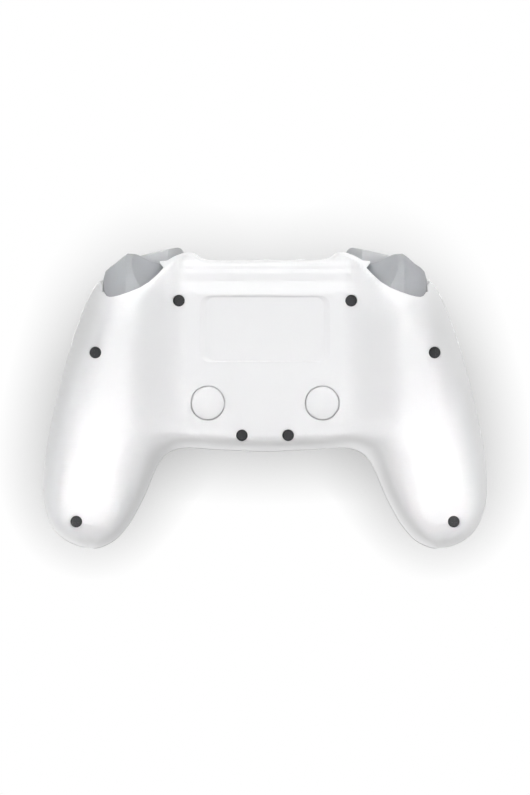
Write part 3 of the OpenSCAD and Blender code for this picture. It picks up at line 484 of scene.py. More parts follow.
grip_middle = np.array([[58.5, -12.0]])
for side_name, height in (("back", back_height), ("face", face_height)):
    print(side_name, "of the grip at", round(float(height(grip_middle)[0]), 2), "mm")

# %% [markdown]
# ## Shell skins
# A skin starts as a flat grid. Its columns become the stations along the outline, from the tip of
# the left grip to the tip of the right one, and its rows run from the outer edge to the inner
# edge, closer together near the edges where the surface bends most. A shell is two such skins, the
# second one set in by the wall, bridged along their edges into one closed solid. The rear shell is
# set in by a hair, so that the front shell's edge shows as a thin line round it, and the two lap
# each other a little at the parting line.

# %% Skins
COLUMNS, EDGE_ROWS, MID_ROWS, EDGE_REACH = 232, 36, 16, 14
ROWS = 2 * EDGE_ROWS + MID_ROWS
REAR_INSET, FRONT_INSET = 0.3, 0.06
OUTER_SPAN, INNER_SPAN, RIM_LAP = 0.98, 0.95, 0.12


def along(row, length):
    """Distance along a station's line at a row, with close rows near both ends."""
    reach = np.minimum(EDGE_REACH, 0.42 * length)
    near = reach * (1 - np.cos(np.pi / 2 * np.clip(row / EDGE_ROWS, 0, 1)))
    far = reach * (1 - np.cos(np.pi / 2 * np.clip((ROWS - row) / EDGE_ROWS, 0, 1)))
    middle = (length - 2 * reach) * np.clip((row - EDGE_ROWS) / MID_ROWS, 0, 1)
    return near + middle + reach - far


def skin(height, inset, wall, span, outward):
    """One surface of a shell as an open sheet, a wall's thickness in from the outside."""
    bm = bmesh.new()
    bmesh.ops.create_grid(bm, x_segments=COLUMNS, y_segments=ROWS, size=1)
    u = np.array([v.co.x for v in bm.verts])
    row = (np.array([v.co.y for v in bm.verts]) + 1) / 2 * ROWS
    at = np.abs(u) * LAST * span
    a, b = edge_curve(OUTER, INNER, at), edge_curve(INNER, OUTER, at)
    length = np.linalg.norm(b - a, axis=1)
    start = np.minimum(inset + wall, 0.3 * length)
    p = a + (b - a) * ((start + along(row, length - 2 * start)) / length)[:, None]
    p[:, 0] *= np.sign(u)
    p[:, 1] = np.maximum(p[:, 1], OUTER[-1, 1] + 0.02)
    border = (row < 0.5) | (row > ROWS - 0.5) | (np.abs(u) > 1 - 1e-6)
    z = np.where(border, parting(p[:, 1]) - outward * RIM_LAP, height(p, inset, wall))
    for v, (x, y), up in zip(bm.verts, p, z):
        v.co = (x, y, up)
    return bm


def shell(height, inset, outward):
    """A closed shell from its two skins; outward is the sign of Z that it faces."""
    outside = skin(height, inset, 0, OUTER_SPAN, outward)
    inside = skin(height, inset, WALL, INNER_SPAN, outward)
    flipped = outside if outward > 0 else inside
    bmesh.ops.reverse_faces(flipped, faces=flipped.faces)
    bm = joined([outside, inside])
    bmesh.ops.bridge_loops(bm, edges=[e for e in bm.edges if e.is_boundary])
    bmesh.ops.recalc_face_normals(bm, faces=bm.faces)
    return bm


print("points in a skin:", (COLUMNS + 1) * (ROWS + 1))

# %% [markdown]
# ## Cutters for the openings
# Each opening in the panel or the face is cut by a turned tool with a flared mouth, which leaves
# a small chamfer on the rim. The screw wells are plain cylinders, because the surface round them
# slopes. The trigger pocket is the trigger's own turned shape, made a little larger.

# %% Cutters
CHAMFER = 0.25


def round_hole(place, radius, level, outward, deep=8, chamfer=CHAMFER):
    flare = 2 * chamfer
    profile = [
        (0, -outward * deep), (radius, -outward * deep), (radius, -outward * chamfer),
        (radius + flare, outward * (flare - chamfer)), (radius + flare, outward * 6), (0, outward * 6),
    ]
    return moved(lathe(profile), *place, level)


def rounded_outline(w, l, r, corner=8):
    points = []
    for quarter, (sx, sy) in enumerate(((1, 1), (-1, 1), (-1, -1), (1, -1))):
        for k in range(corner + 1):
            a = math.pi / 2 * (quarter + k / corner)
            points.append((sx * (w / 2 - r) + r * math.cos(a), sy * (l / 2 - r) + r * math.sin(a)))
    return points


# %% Trigger pocket
PIN_Y, PIN_Z = 36, 23
TRIGGER_PROFILE = [
    (35, 15.4), (36, 15.9), (38, 17.2), (43.3, 19.2), (48.1, 19.4), (50.2, 18.6), (52.3, 17.4),
    (54.4, 15.5), (56, 13.1),
]
TRIGGER_GAP = 0.4
POCKET_OUTLINE = [(34.95, 25), (34.95, 44.9), (36.45, 46.7), (37, 60), (62, 60), (62, 25)]
POCKET_MOUTH = [
    (35.05, 44.85), (37.4, 42.3), (40, 39.9), (43, 38), (46.6, 36.5), (50.1, 35.3), (52.2, 34.8),
    (53.6, 34.7), (54.7, 35.1), (55.4, 36), (55.9, 37.4), (56.2, 39), (60, 42), (60, 60), (37, 60),
    (36.5, 46.65),
]


def about_pin(bm):
    """A piece that was turned about Z, laid along the trigger's pin."""
    bmesh.ops.rotate(bm, cent=(0, 0, 0), matrix=Matrix.Rotation(math.pi / 2, 3, "Y"), verts=bm.verts)
    return moved(bm, 0, PIN_Y, PIN_Z)


def trigger_turn(gap, steps=128):
    """The trigger's profile turned about its pin, larger or smaller by a gap."""
    first, last = TRIGGER_PROFILE[0][0], TRIGGER_PROFILE[-1][0]
    ends = (first - max(gap, 0), last + max(gap, 0) / 2)
    profile = [(0, ends[0])] + [(r + gap, min(max(x, ends[0]), ends[1])) for x, r in TRIGGER_PROFILE]
    profile[1] = (profile[1][0], ends[0])
    profile[-1] = (profile[-1][0], ends[1])
    return about_pin(lathe(profile + [(0, ends[1])], steps))


def trigger_pocket():
    """Room for the trigger under the shells."""
    return carve(trigger_turn(TRIGGER_GAP), prism(POCKET_OUTLINE, -10, 27), "INTERSECT")


print("widest turn of the trigger:", max(r for x, r in TRIGGER_PROFILE), "mm")

# %% [markdown]
# ## Rear shell
# White, with a bare label recess in the panel, two round holes for the back buttons, eight screw
# wells and a pocket for each trigger. The openings could be modelled into the grid, but its rows
# would then have to follow every hole. Booleans leave the smooth skin as it is. Tools that don't
# touch each other are joined first, so that one boolean cuts them all.

# %% Rear shell
SCREWS = [(29.8, 33.5), (58.5, 15.5), (8, -13.1), (65, -42.75)]
SCREW_HEAD_D, SCREW_HEAD_H, SCREW_RECESS = 4.0, 1.6, 0.2
WELL_R = SCREW_HEAD_D / 2 + 0.12
BACK_BUTTON, BACK_D, BACK_GAP, BACK_CHAMFER = (19.8, -1.9), 11.5, 0.28, 0.03
LABEL_PLACE, LABEL_SIZE, LABEL_R, LABEL_DEEP = (0, 23.7), (40.8, 22), 3, 0.45
LABEL_WALLS = (2.0, 0.5)
BUMPER_NOTCH = [(28.6, 50.6), (32, 48.7), (33.9, 47.5), (38, 47.2), (38, 58), (28.6, 58)]


def well_seat(x, y):
    """Height of the seat under a screw's head, below the whole rim of its well."""
    turn = np.linspace(0, math.tau, 12, endpoint=False)
    ring = np.column_stack([x + WELL_R * np.cos(turn), y + WELL_R * np.sin(turn)])
    return back_height(ring).max() + SCREW_RECESS + SCREW_HEAD_H


def label_tool():
    """The label recess: steep walls above and below it, long shallow ones at its sides."""
    bm = prism(rounded_outline(*LABEL_SIZE, LABEL_R), PANEL_H - LABEL_DEEP, PANEL_H + LABEL_DEEP)
    mouth = [v for v in bm.verts if v.co.z < PANEL_H]
    grow = [1 + 4 * wall / size for wall, size in zip(LABEL_WALLS, LABEL_SIZE)]
    bmesh.ops.scale(bm, vec=(*grow, 1), verts=mouth)
    return moved(bm, *LABEL_PLACE)


rear = shell(back_height, REAR_INSET, -1)
tools = [label_tool()]
for side in SIDES.values():
    place = (side * BACK_BUTTON[0], BACK_BUTTON[1])
    tools.append(round_hole(place, BACK_D / 2 + BACK_GAP, PANEL_H, -1, chamfer=BACK_CHAMFER))
    for x, y in SCREWS:
        seat = well_seat(x, y)
        tools.append(moved(lathe([(0, -20), (WELL_R, -20), (WELL_R, 0), (0, 0)], 48), side * x, y, seat))
rear = carve(rear, joined(tools))
rear = carve(rear, joined([sided(trigger_pocket(), side) for side in SIDES.values()]))
rear = carve(rear, joined([sided(prism(POCKET_MOUTH, -11, 20), side) for side in SIDES.values()]))
rear = carve(rear, joined([sided(prism(BUMPER_NOTCH, -5, 40), side) for side in SIDES.values()]))
add_piece(rear, "rear_shell_skin", "case", shell_white, "rear_shell", smooth=12)

# %% [markdown]
# ## Front shell
# The face has two round stick openings, a cross for the direction pad, holes for the buttons, a
# row of small lights, and in its top edge the charging socket and the pairing button. The bumpers
# sit in pockets along the shoulders. A pocket could follow the whole swing as one swept shape, but
# the bumper's own outline, made a little larger and cut at three steps of the swing, is near enough.

# %% Face layout
STICKS = {"left": (-41, 18.5), "right": (22.5, 0)}
STICK_HOLE_R = 12.1
DPAD, DPAD_REACH, DPAD_ARM = (-22.5, 1), 10.8, 8.4
FACE_MIDDLE, FACE_REACH, FACE_BUTTON_D = (41, 18.5), 9.2, 9.6
SMALL = {"plus": (17.5, 26), "minus": (-17.5, 26), "home": (9, 16), "capture": (-9, 16)}
SMALL_D = 5.8
FACE_TURN = {"east": 0, "north": 90, "west": 180, "south": 270}
FACE_PLACE = {
    name: (
        FACE_MIDDLE[0] + FACE_REACH * math.cos(math.radians(turn)),
        FACE_MIDDLE[1] + FACE_REACH * math.sin(math.radians(turn)),
    )
    for name, turn in FACE_TURN.items()
}
BUMPER_PIN, BUMPER_LOW, BUMPER_HIGH, BUMPER_SWING, BUMPER_GAP = (30.6, 45.2), 27.5, 36.5, 3.5, 0.5
BUMPER_OUTLINE = [
    (28.2, 44), (28.2, 49.6), (28.3, 50.5), (28.7, 51.4), (29.4, 52.1), (30.4, 52.5), (34.6, 51.6),
    (39, 50.6), (43.7, 49.4), (49.5, 47), (54.6, 43.6), (58.2, 39.8), (56.2, 38), (51.5, 41.2),
    (46, 43.4), (40, 44.6), (34.6, 44.6), (33, 43), (30.6, 42.3), (29, 42.8),
]
TOP_EDGE, USB_Z, USB_SIZE, PAIRING_X, PAIRING_Z, PAIRING_HOLE_R = 48.2, 30.8, (9.64, 3.9), -12.5, 32, 1.95
BUTTON_GAP, CROSS_GAP, STICK_CHAMFER, CORNER_R = 0.3, 0.9, 0.6, 0.9
LIGHT_SIZE, LIGHT_PITCH, LIGHT_Y, LIGHTS = (3.1, 1.5), 4.4, -6, 4
print("buttons on the face:", len(FACE_PLACE) + len(SMALL), "sticks:", len(STICKS))


# %% Tools for the face
def cross_outline(gap):
    a, b = DPAD_ARM / 2 + gap, DPAD_REACH + gap
    points = []
    for turn in range(4):
        c, s = (1, 0, -1, 0)[turn], (0, 1, 0, -1)[turn]
        points += [(c * x - s * y, s * x + c * y) for x, y in [(b, -a), (b, a), (a, a)]]
    return points


def cross_prism(gap, low, high):
    """The direction pad's cross as a prism, with the corners of its arms rounded."""
    cross = prism(cross_outline(gap), low, high)
    upright = lambda e: e.is_convex and e.verts[0].co.z != e.verts[1].co.z
    return soften(cross, CORNER_R + gap, 4, 40, upright)


def stadium_outline(w, h, steps=12):
    points = []
    for side in (1, -1):
        for k in range(steps + 1):
            a = math.pi * (k / steps - side / 2)
            points.append((side * (w - h) / 2 + h / 2 * math.cos(a), h / 2 * math.sin(a)))
    return points


def facing_y(bm, x, y, z):
    """Turns a prism along Z so that it runs along Y."""
    bmesh.ops.rotate(bm, cent=(0, 0, 0), matrix=Matrix.Rotation(math.pi / 2, 3, "X"), verts=bm.verts)
    return moved(bm, x, y, z)


def bumper_pocket(turn):
    """Room for the bumper where it stands after a turn about its pin, in degrees."""
    bm = prism(grown(BUMPER_OUTLINE, BUMPER_GAP), BUMPER_LOW - BUMPER_GAP, BUMPER_HIGH + BUMPER_GAP)
    spin = Matrix.Rotation(math.radians(-turn), 3, "Z")
    bmesh.ops.rotate(bm, cent=(*BUMPER_PIN, 0), matrix=spin, verts=bm.verts)
    return bm


def round_outline(r, steps=32):
    return [(r * math.cos(a), r * math.sin(a)) for a in np.linspace(0, math.tau, steps, endpoint=False)]


print("corners of the cross:", len(cross_outline(0)))

# %% Front shell
front = shell(face_height, FRONT_INSET, 1)
tools = [round_hole(p, STICK_HOLE_R, FACE_H, 1, chamfer=STICK_CHAMFER) for p in STICKS.values()]
tools += [round_hole(p, FACE_BUTTON_D / 2 + BUTTON_GAP, FACE_H, 1) for p in FACE_PLACE.values()]
tools += [round_hole(p, SMALL_D / 2 + BUTTON_GAP, FACE_H, 1) for p in SMALL.values()]
tools.append(moved(cross_prism(CROSS_GAP, FACE_H - 6, FACE_H + 6), *DPAD))
for k in range(LIGHTS):
    pill = prism(stadium_outline(*LIGHT_SIZE), FACE_H - 6, FACE_H + 6)
    tools.append(moved(pill, (k - (LIGHTS - 1) / 2) * LIGHT_PITCH, LIGHT_Y))
tools.append(facing_y(prism(stadium_outline(*USB_SIZE), -3, 6), 0, TOP_EDGE, USB_Z))
tools.append(facing_y(prism(round_outline(PAIRING_HOLE_R), -3, 6), PAIRING_X, TOP_EDGE, PAIRING_Z))
front = carve(front, joined(tools))
front = carve(front, joined([sided(trigger_pocket(), side) for side in SIDES.values()]))
for turn in (0, BUMPER_SWING / 2, BUMPER_SWING):
    front = carve(front, joined([sided(bumper_pocket(turn), side) for side in SIDES.values()]))
notches = [sided(prism(BUMPER_NOTCH, 20, BUMPER_LOW + BUMPER_GAP), side) for side in SIDES.values()]
front = carve(front, joined(notches))
add_piece(front, "front_shell_skin", "case", shell_white, "front_shell", smooth=30)

# %% [markdown]
# ## Triggers
# Each trigger is a hollow cup turned about its pin and trimmed to its outline by a boolean. A crest
# runs along it: outboard of it is the turned face, and toward the middle of the pad a steep flat
# facet is planed off. Planing only takes material away, so the cup still turns in its pocket. Its
# upper inner corner is cut back, because that corner swings forward when the trigger is pulled.

# %% Triggers
TRIGGER_TOP, TRIGGER_WALL = 26.4, 1.4
FACET_POINT, FACET_NORMAL = Vector((45.2, 49.3, 9.2)), Vector((-0.573, 0.438, -0.692))
TRIGGER_OUTLINE = [
    (35.15, 31.5), (35.15, 44.8), (36.6, 46.5), (39.8, 47.15), (43.6, 49.2), (44.8, 49.6), (47.5, 49.75),
    (49.5, 48.3), (51.7, 46.3), (53.7, 45), (55.2, 43.6), (55.8, 41.3), (55.95, 38.8), (55.75, 36),
    (55.2, 31.5),
]
EAR_ROOMS, EAR_ROOM_R = [(36.2, 39.2), (52, 55.1)], 5.9
TAIL_WINDOW, TAIL_LOW = [(38.6, 30), (52.4, 30), (52.4, 33.6), (38.6, 33.6)], 16
CORNER_CUT, CORNER_LOW = [(34, 42.5), (37.4, 42.5), (37.4, 48), (34, 48)], 24.2
HUB, HUB_R, PIN_HOLE, PIN_HOLE_R = (38.7, 52.6), 2.4, (36.3, 55), 1.05


def pin_cylinder(x0, x1, radius):
    return about_pin(lathe([(0, x0), (radius, x0), (radius, x1), (0, x1)], 48))


def faceted(bm, depth=0.0):
    """Planes off the facet toward the middle of the pad, a depth below its surface."""
    bmesh.ops.bisect_plane(
        bm, geom=bm.verts[:] + bm.edges[:] + bm.faces[:], plane_co=FACET_POINT - depth * FACET_NORMAL,
        plane_no=FACET_NORMAL, clear_outer=True,
    )
    bmesh.ops.holes_fill(bm, edges=[e for e in bm.edges if e.is_boundary], sides=0)
    bmesh.ops.recalc_face_normals(bm, faces=bm.faces)
    return bm


def trigger():
    """The cup, with room for the bracket's ears, its spring and its own turn, and a hub on the pin."""
    bm = carve(trigger_turn(0), prism(TRIGGER_OUTLINE, -2, TRIGGER_TOP), "INTERSECT")
    soften(faceted(bm), 0.35, 3, 24)
    room = prism(grown(TRIGGER_OUTLINE, -TRIGGER_WALL), -2, 40)
    room = carve(trigger_turn(-TRIGGER_WALL), room, "INTERSECT")
    bm = carve(bm, faceted(room, TRIGGER_WALL))
    bm = carve(bm, joined([pin_cylinder(*room_x, EAR_ROOM_R) for room_x in EAR_ROOMS]))
    bm = carve(bm, prism(TAIL_WINDOW, TAIL_LOW, 30))
    bm = carve(bm, prism(CORNER_CUT, CORNER_LOW, 30))
    bm = carve(bm, pin_cylinder(*HUB, HUB_R), "UNION")
    return carve(bm, pin_cylinder(*PIN_HOLE, PIN_HOLE_R))


for side_name, side in SIDES.items():
    add_piece(
        sided(trigger(), side), f"{side_name}_trigger_cup", f"{side_name}_trigger",
        control_grey, f"{side_name}_trigger", smooth=20,
    )

# %% [markdown]
# ## Bumpers
# A bumper is an upright band along the shoulder. Its underside is what shows from the back, with
# a facet toward the inner end. It could be swept along a curve, but its outline is there already for
# the pocket, so it is a prism of that outline. A cut across it marks where the facet starts, and the
# points beyond the cut are raised.

# %% Bumpers
BUMPER_FACET, BUMPER_TILT, BUMPER_PIN_HOLE_R = 33.9, 0.7, 1.05


def bumper():
    bm = prism(BUMPER_OUTLINE, BUMPER_LOW, BUMPER_HIGH)
    bmesh.ops.bisect_plane(
        bm, geom=bm.verts[:] + bm.edges[:] + bm.faces[:], plane_co=(BUMPER_FACET, 0, 0), plane_no=(1, 0, 0)
    )
    for v in bm.verts:
        if v.co.z < BUMPER_LOW + 0.1 and v.co.x < BUMPER_FACET:
            v.co.z += BUMPER_TILT * (BUMPER_FACET - v.co.x)
    soften(bm, 0.4, 3, 20)
    r = BUMPER_PIN_HOLE_R
    return carve(bm, moved(lathe([(0, 20), (r, 20), (r, 45), (0, 45)], 32), *BUMPER_PIN))


# The bumpers use the lighter copy of the control grey, painted light against the shade of their pockets.
for side_name, side in SIDES.items():
    add_piece(
        sided(bumper(), side), f"{side_name}_bumper_band", f"{side_name}_bumper",
        bumper_grey_painted_lighter, f"{side_name}_bumper", smooth=28,
    )

# %% [markdown]
# ## Back buttons
# The back buttons are low domes turned from a profile, with a flange inside the panel that keeps
# them in and a stem that reaches the dome behind them. A bevelled cylinder would bend only at its
# rim. A drawn profile gives the slow crown and the quick turn at the edge together.

# %% Back buttons
BACK_PROUD, BACK_FLANGE_LOW = 0.9, 12.0


def back_button():
    top, r = PANEL_H - BACK_PROUD, BACK_D / 2 - 0.04
    profile = [
        (0, top), (0.3 * r, top + 0.02), (0.6 * r, top + 0.1), (0.82 * r, top + 0.26),
        (0.94 * r, top + 0.42), (0.985 * r, top + 0.54), (r, top + 0.72),
        (r, BACK_FLANGE_LOW), (r + 1.5, BACK_FLANGE_LOW),
        (r + 1.5, BACK_FLANGE_LOW + 1.2), (2, BACK_FLANGE_LOW + 1.2), (2, 16.2), (0, 16.2),
    ]
    return moved(lathe(profile, 128), *BACK_BUTTON)


for side_name, side in SIDES.items():
    add_piece(
        sided(back_button(), side), f"{side_name}_back_button_cap", f"{side_name}_back_button",
        shell_white, f"{side_name}_back_button",
    )

# %% [markdown]
# ## Rear screws
# A screw is a low round head with a cross recess, on a plain shank. The recess could be a dark
# pattern in the material, but a real one shades itself from every side, so the head is turned and
# then carved. All eight are one piece, as they are one kind.

# %% Rear screws
SCREW_D, SCREW_LEN, CROSS_SIZE, CROSS_DEEP = 2.4, 15, (2.3, 0.6), 0.75


def rear_screw():
    r, h = SCREW_HEAD_D / 2, SCREW_HEAD_H
    head = lathe([
        (0, 0), (0.55 * r, 0.02), (0.85 * r, 0.1), (0.96 * r, 0.22), (r, 0.45), (r, h),
        (SCREW_D / 2, h), (SCREW_D / 2, h + SCREW_LEN), (0, h + SCREW_LEN),
    ], 48)
    for turn in (0, math.pi / 2):
        bar = prism(rounded_outline(*CROSS_SIZE, 0.12, 2), -0.5, CROSS_DEEP)
        bmesh.ops.rotate(bar, cent=(0, 0, 0), matrix=Matrix.Rotation(turn, 3, "Z"), verts=bar.verts)
        head = carve(head, bar)
    return head


screws = []
for side in SIDES.values():
    for x, y in SCREWS:
        screws.append(moved(rear_screw(), side * x, y, well_seat(x, y) - SCREW_HEAD_H))
add_piece(joined(screws), "rear_screw_set", "case", screw_black, "rear_screws")

# %% [markdown]
# ## Sticks
# A stick cap is turned in one piece: the bore for its post, a hollow dome that covers the opening at
# every tilt, a short neck and a dished head. Every second line of points on the rim of the head is
# drawn in a little, which leaves fine teeth for the thumb.

# %% Sticks
STICK_PIVOT, DOME_R, DOME_WALL, BORE_R, BORE_TOP, SHAFT_R = 34, 12.5, 1.2, 2.05, 9.8, 3.2
HEAD = [
    (3.6, 12.5), (7.3, 12.5), (8.1, 13), (8.9, 13.9), (9.25, 14.6), (9.3, 15.3), (9.25, 16.4),
    (9.1, 17.2), (8.75, 17.95), (8.2, 18.5), (7.65, 18.85), (7.1, 18.98), (6.6, 18.9), (6.1, 18.6),
    (4.2, 18.15), (2.2, 17.9), (0, 17.8),
]
TEETH, TOOTH = 72, 0.12


def dome(radius, start, end, steps=24):
    turns = np.radians(np.linspace(start, end, steps))
    return [(radius * math.sin(a), radius * math.cos(a)) for a in turns]


def stick_cap():
    inner, foot = DOME_R - DOME_WALL, 85
    profile = [(0, BORE_TOP), (BORE_R, BORE_TOP), (BORE_R, 4), (SHAFT_R, 4)]
    profile += dome(inner, math.degrees(math.asin(SHAFT_R / inner)), foot)
    profile += dome(DOME_R, foot, math.degrees(math.asin(HEAD[0][0] / DOME_R))) + HEAD
    bm = lathe(profile, 2 * TEETH)
    for v in bm.verts:
        line = round(math.atan2(v.co.y, v.co.x) / math.tau * 2 * TEETH)
        if line % 2 and 13.5 < v.co.z < 18 and v.co.xy.length > 8.6:
            v.co.xy *= 1 - TOOTH / v.co.xy.length
    return moved(bm, z=STICK_PIVOT)


for side_name, place in STICKS.items():
    add_piece(
        moved(stick_cap(), *place), f"{side_name}_stick_cap_turned", f"{side_name}_stick_cap",
        stick_rubber, f"{side_name}_stick_cap",
    )

# %% [markdown]
# ## Direction pad
# The direction pad is a cross with a round flange under the face, a shallow dish in the middle and a
# socket for its ball. The turned flange and the cross are joined by a boolean, so that they are one
# closed solid, and two balls cut the dish and the socket.

# %% Direction pad
DPAD_LOW, DPAD_TOP, DPAD_FLANGE_R, DPAD_FLANGE = 35.6, 43.8, 12.4, 1.3
DPAD_PIVOT, BALL_R, DISH_R, DISH_UP = 33.5, 2.55, 10, 9.4


def ball(radius, z):
    bm = bmesh.new()
    bmesh.ops.create_uvsphere(bm, u_segments=64, v_segments=32, radius=radius)
    return moved(bm, z=z)


def dpad():
    cross = cross_prism(0, DPAD_LOW + 0.2, DPAD_TOP)
    soften(cross, 0.5, 4, 40, lambda e: min(v.co.z for v in e.verts) > DPAD_TOP - 0.1)
    base = lathe([
        (0, 34.4), (3.7, 34.4), (3.7, DPAD_LOW), (DPAD_FLANGE_R, DPAD_LOW),
        (DPAD_FLANGE_R, DPAD_LOW + DPAD_FLANGE), (0, DPAD_LOW + DPAD_FLANGE),
    ])
    bm = carve(base, cross, "UNION")
    bm = carve(bm, ball(DISH_R, DPAD_TOP + DISH_UP))
    return moved(carve(bm, ball(BALL_R, DPAD_PIVOT)), *DPAD)


add_piece(dpad(), "dpad_cross", "dpad", FINISH_OF_SLOT[SLOT_OF["dpad"]], "dpad", smooth=30)

# %% [markdown]
# ## Buttons
# The buttons are turned, with a flange that keeps them in and a crowned top. The plus and minus keys
# carry their sign as a shallow groove. The pairing button is turned the same way and then laid along
# Y, because it looks out of the top edge.

# %% Face, small and pairing buttons
FLANGE_LOW, FLANGE_TOP = 37.1, 38.5
FACE_TOP, FACE_FLANGE_D, FACE_STEM_D, FACE_STEM_LOW = 43.2, 11.3, 6.6, 34.9
SMALL_TOP, SMALL_FLANGE_D, SMALL_STEM_D, SMALL_STEM_LOW = 42, 7.6, 3.6, 33.9


def round_button(d, top, flange_d, stem_d, stem_low):
    r, f, s = d / 2, flange_d / 2, stem_d / 2
    return lathe([
        (0, stem_low), (s, stem_low), (s, FLANGE_LOW), (f, FLANGE_LOW), (f, FLANGE_TOP), (r, FLANGE_TOP),
        (r, top - 0.8), (r - 0.07, top - 0.5), (r - 0.25, top - 0.28), (r - 0.6, top - 0.12),
        (0.5 * r, top - 0.03), (0, top),
    ])


def sign_groove(bars, top):
    """Flat bars sunk into the top of a key."""
    return [prism(rounded_outline(w, l, 0.2, 3), top - 0.3, top + 1) for w, l in bars]


def add_button(bm, name, place):
    material = FINISH_OF_SLOT[SLOT_OF[name]]
    add_piece(moved(bm, *place), f"{name}_turned", name, material, name, smooth=30)


for turn_name, place in FACE_PLACE.items():
    bm = round_button(FACE_BUTTON_D, FACE_TOP, FACE_FLANGE_D, FACE_STEM_D, FACE_STEM_LOW)
    add_button(bm, f"{turn_name}_button", place)
SIGNS = {"plus": [(2.6, 0.6), (0.6, 2.6)], "minus": [(2.6, 0.6)]}
for key_name, place in SMALL.items():
    bm = round_button(SMALL_D, SMALL_TOP, SMALL_FLANGE_D, SMALL_STEM_D, SMALL_STEM_LOW)
    for bar in sign_groove(SIGNS.get(key_name, []), SMALL_TOP):
        bm = carve(bm, bar)
    add_button(bm, f"{key_name}_button", place)
pairing = lathe([
    (0, 43.1), (2.3, 43.1), (2.3, 44.3), (1.6, 44.3), (1.6, 48.2), (1.5, 48.38), (1.2, 48.47), (0, 48.5),
], 64)
bmesh.ops.rotate(pairing, cent=(0, 0, 0), matrix=Matrix.Rotation(-math.pi / 2, 3, "X"), verts=pairing.verts)
add_button(pairing, "pairing_button", (PAIRING_X, 0, PAIRING_Z))

# %% [markdown]
# ## Rubber domes
# Under every button stands a rubber dome, which gives way when the button is pressed. The domes are
# soft, so each is a piece of its own: a bell turned about its middle, from its foot up to its top.
# The direction pad leans on four of them. The face buttons and the direction pad have their domes
# on a thin web.

# %% Rubber domes
BOARD_TOP, WEB, BACK_FOOT, DPAD_DROP, DPAD_DOME_REACH = 29.2, 0.8, 18.3, 0.8, 7.4
DPAD_WEB_R, POST_ROOM_R, FACE_WEB_R, WEB_SET_IN = 10, 4.2, 4.4, 3
FACE_BELL, SMALL_BELL, BACK_BELL, DPAD_BELL = (3, 34.6), (2.2, 33.6), (2.6, 16.5), (2.2, 35.3)
BELL = [(0, 0), (1, 0), (1, 0.1), (0.88, 0.25), (0.8, 0.6), (0.7, 0.78), (0.68, 0.96), (0.6, 1), (0, 1)]


def add_dome(name, node, place, size, foot):
    """A dome of a radius and a top height, standing on a given foot height."""
    radius, top = size
    bell = lathe([(radius * r, mix(foot, top, z)) for r, z in BELL], 48)
    obj = add_piece(moved(bell, *place), name, "case", dome_rubber, node)
    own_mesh(obj)


def disc(place, radius):
    return moved(lathe([(0, 0), (radius, 0), (radius, WEB), (0, WEB)], 64), *place, BOARD_TOP)


for name, place in FACE_PLACE.items():
    joint = f"face_button_{name}_press"
    add_dome(f"{name}_dome", "face_button_mat", place, FACE_BELL, BOARD_TOP + WEB)
for name, place in SMALL.items():
    joint = f"small_button_{name}_press"
    add_dome(f"{name}_dome", "small_button_domes", place, SMALL_BELL, BOARD_TOP)
for name, side in SIDES.items():
    joint, place = f"back_button_{name}_press", (side * BACK_BUTTON[0], BACK_BUTTON[1])
    add_dome(f"{name}_back_dome", "back_button_domes", place, BACK_BELL, BACK_FOOT)
for k, (x, y) in enumerate([(1, 0), (0, 1), (-1, 0), (0, -1)]):
    joint = "dpad_rock_x" if x == 0 else "dpad_rock_y"
    place = (DPAD[0] + DPAD_DOME_REACH * x, DPAD[1] + DPAD_DOME_REACH * y)
    add_dome(f"dpad_dome_{k}", "dpad_mat", place, DPAD_BELL, BOARD_TOP + WEB)
web = disc(FACE_MIDDLE, FACE_REACH - WEB_SET_IN)
for place in FACE_PLACE.values():
    web = carve(web, disc(place, FACE_WEB_R), "UNION")
add_piece(web, "face_button_web", "case", dome_rubber, "face_button_mat")
ring = carve(disc(DPAD, DPAD_WEB_R), moved(ball(POST_ROOM_R, BOARD_TOP), *DPAD))
add_piece(ring, "dpad_web", "case", dome_rubber, "dpad_mat")

# %% [markdown]
# ## Stage
# Paper hangs behind the pad for the main picture, and a floor lies under it for the other views.
# Each is seen from its front side only, so the camera below the floor looks through it, and
# neither throws light or shade on the pad. The paper is a white emission with a painted contact
# shadow: ambient occlusion lowers its glow where the pad closes in on it, and a ramp along Y makes
# that painted shadow weaker above the pad. The floor takes its shadow from the lamps, and away
# from the pad it fades to white, so that no horizon shows.

# %% Stage helpers
def stage_surface(name, rays):
    """A material that is clear except to some rays from the front; returns where its shader goes."""
    made = bpy.data.materials.new(name)
    made.use_nodes = True
    tree = made.node_tree
    tree.nodes.clear()
    path = tree.nodes.new("ShaderNodeLightPath").outputs
    behind = tree.nodes.new("ShaderNodeNewGeometry").outputs["Backfacing"]
    seen = path[rays[0]]
    for ray in rays[1:]:
        seen = math_node(tree, "MAXIMUM", seen, path[ray])
    clear = tree.nodes.new("ShaderNodeBsdfTransparent")
    choose = tree.nodes.new("ShaderNodeMixShader")
    out = tree.nodes.new("ShaderNodeOutputMaterial")
    wire(tree, (
        (math_node(tree, "MULTIPLY", seen, math_node(tree, "SUBTRACT", 1.0, behind)), choose.inputs[0]),
        (clear.outputs[0], choose.inputs[1]), (choose.outputs[0], out.inputs["Surface"]),
    ))
    return made, tree, choose.inputs[2]


def stage_plane(name, z, facing, material):
    bm = bmesh.new()
    bmesh.ops.create_grid(bm, x_segments=1, y_segments=1, size=4)
    if facing < 0:
        bmesh.ops.reverse_faces(bm, faces=bm.faces)
    plane = mesh_object(moved(bm, 0, 0, z), name)
    plane.data.materials.append(material)
    print(name, "at", z, "m")
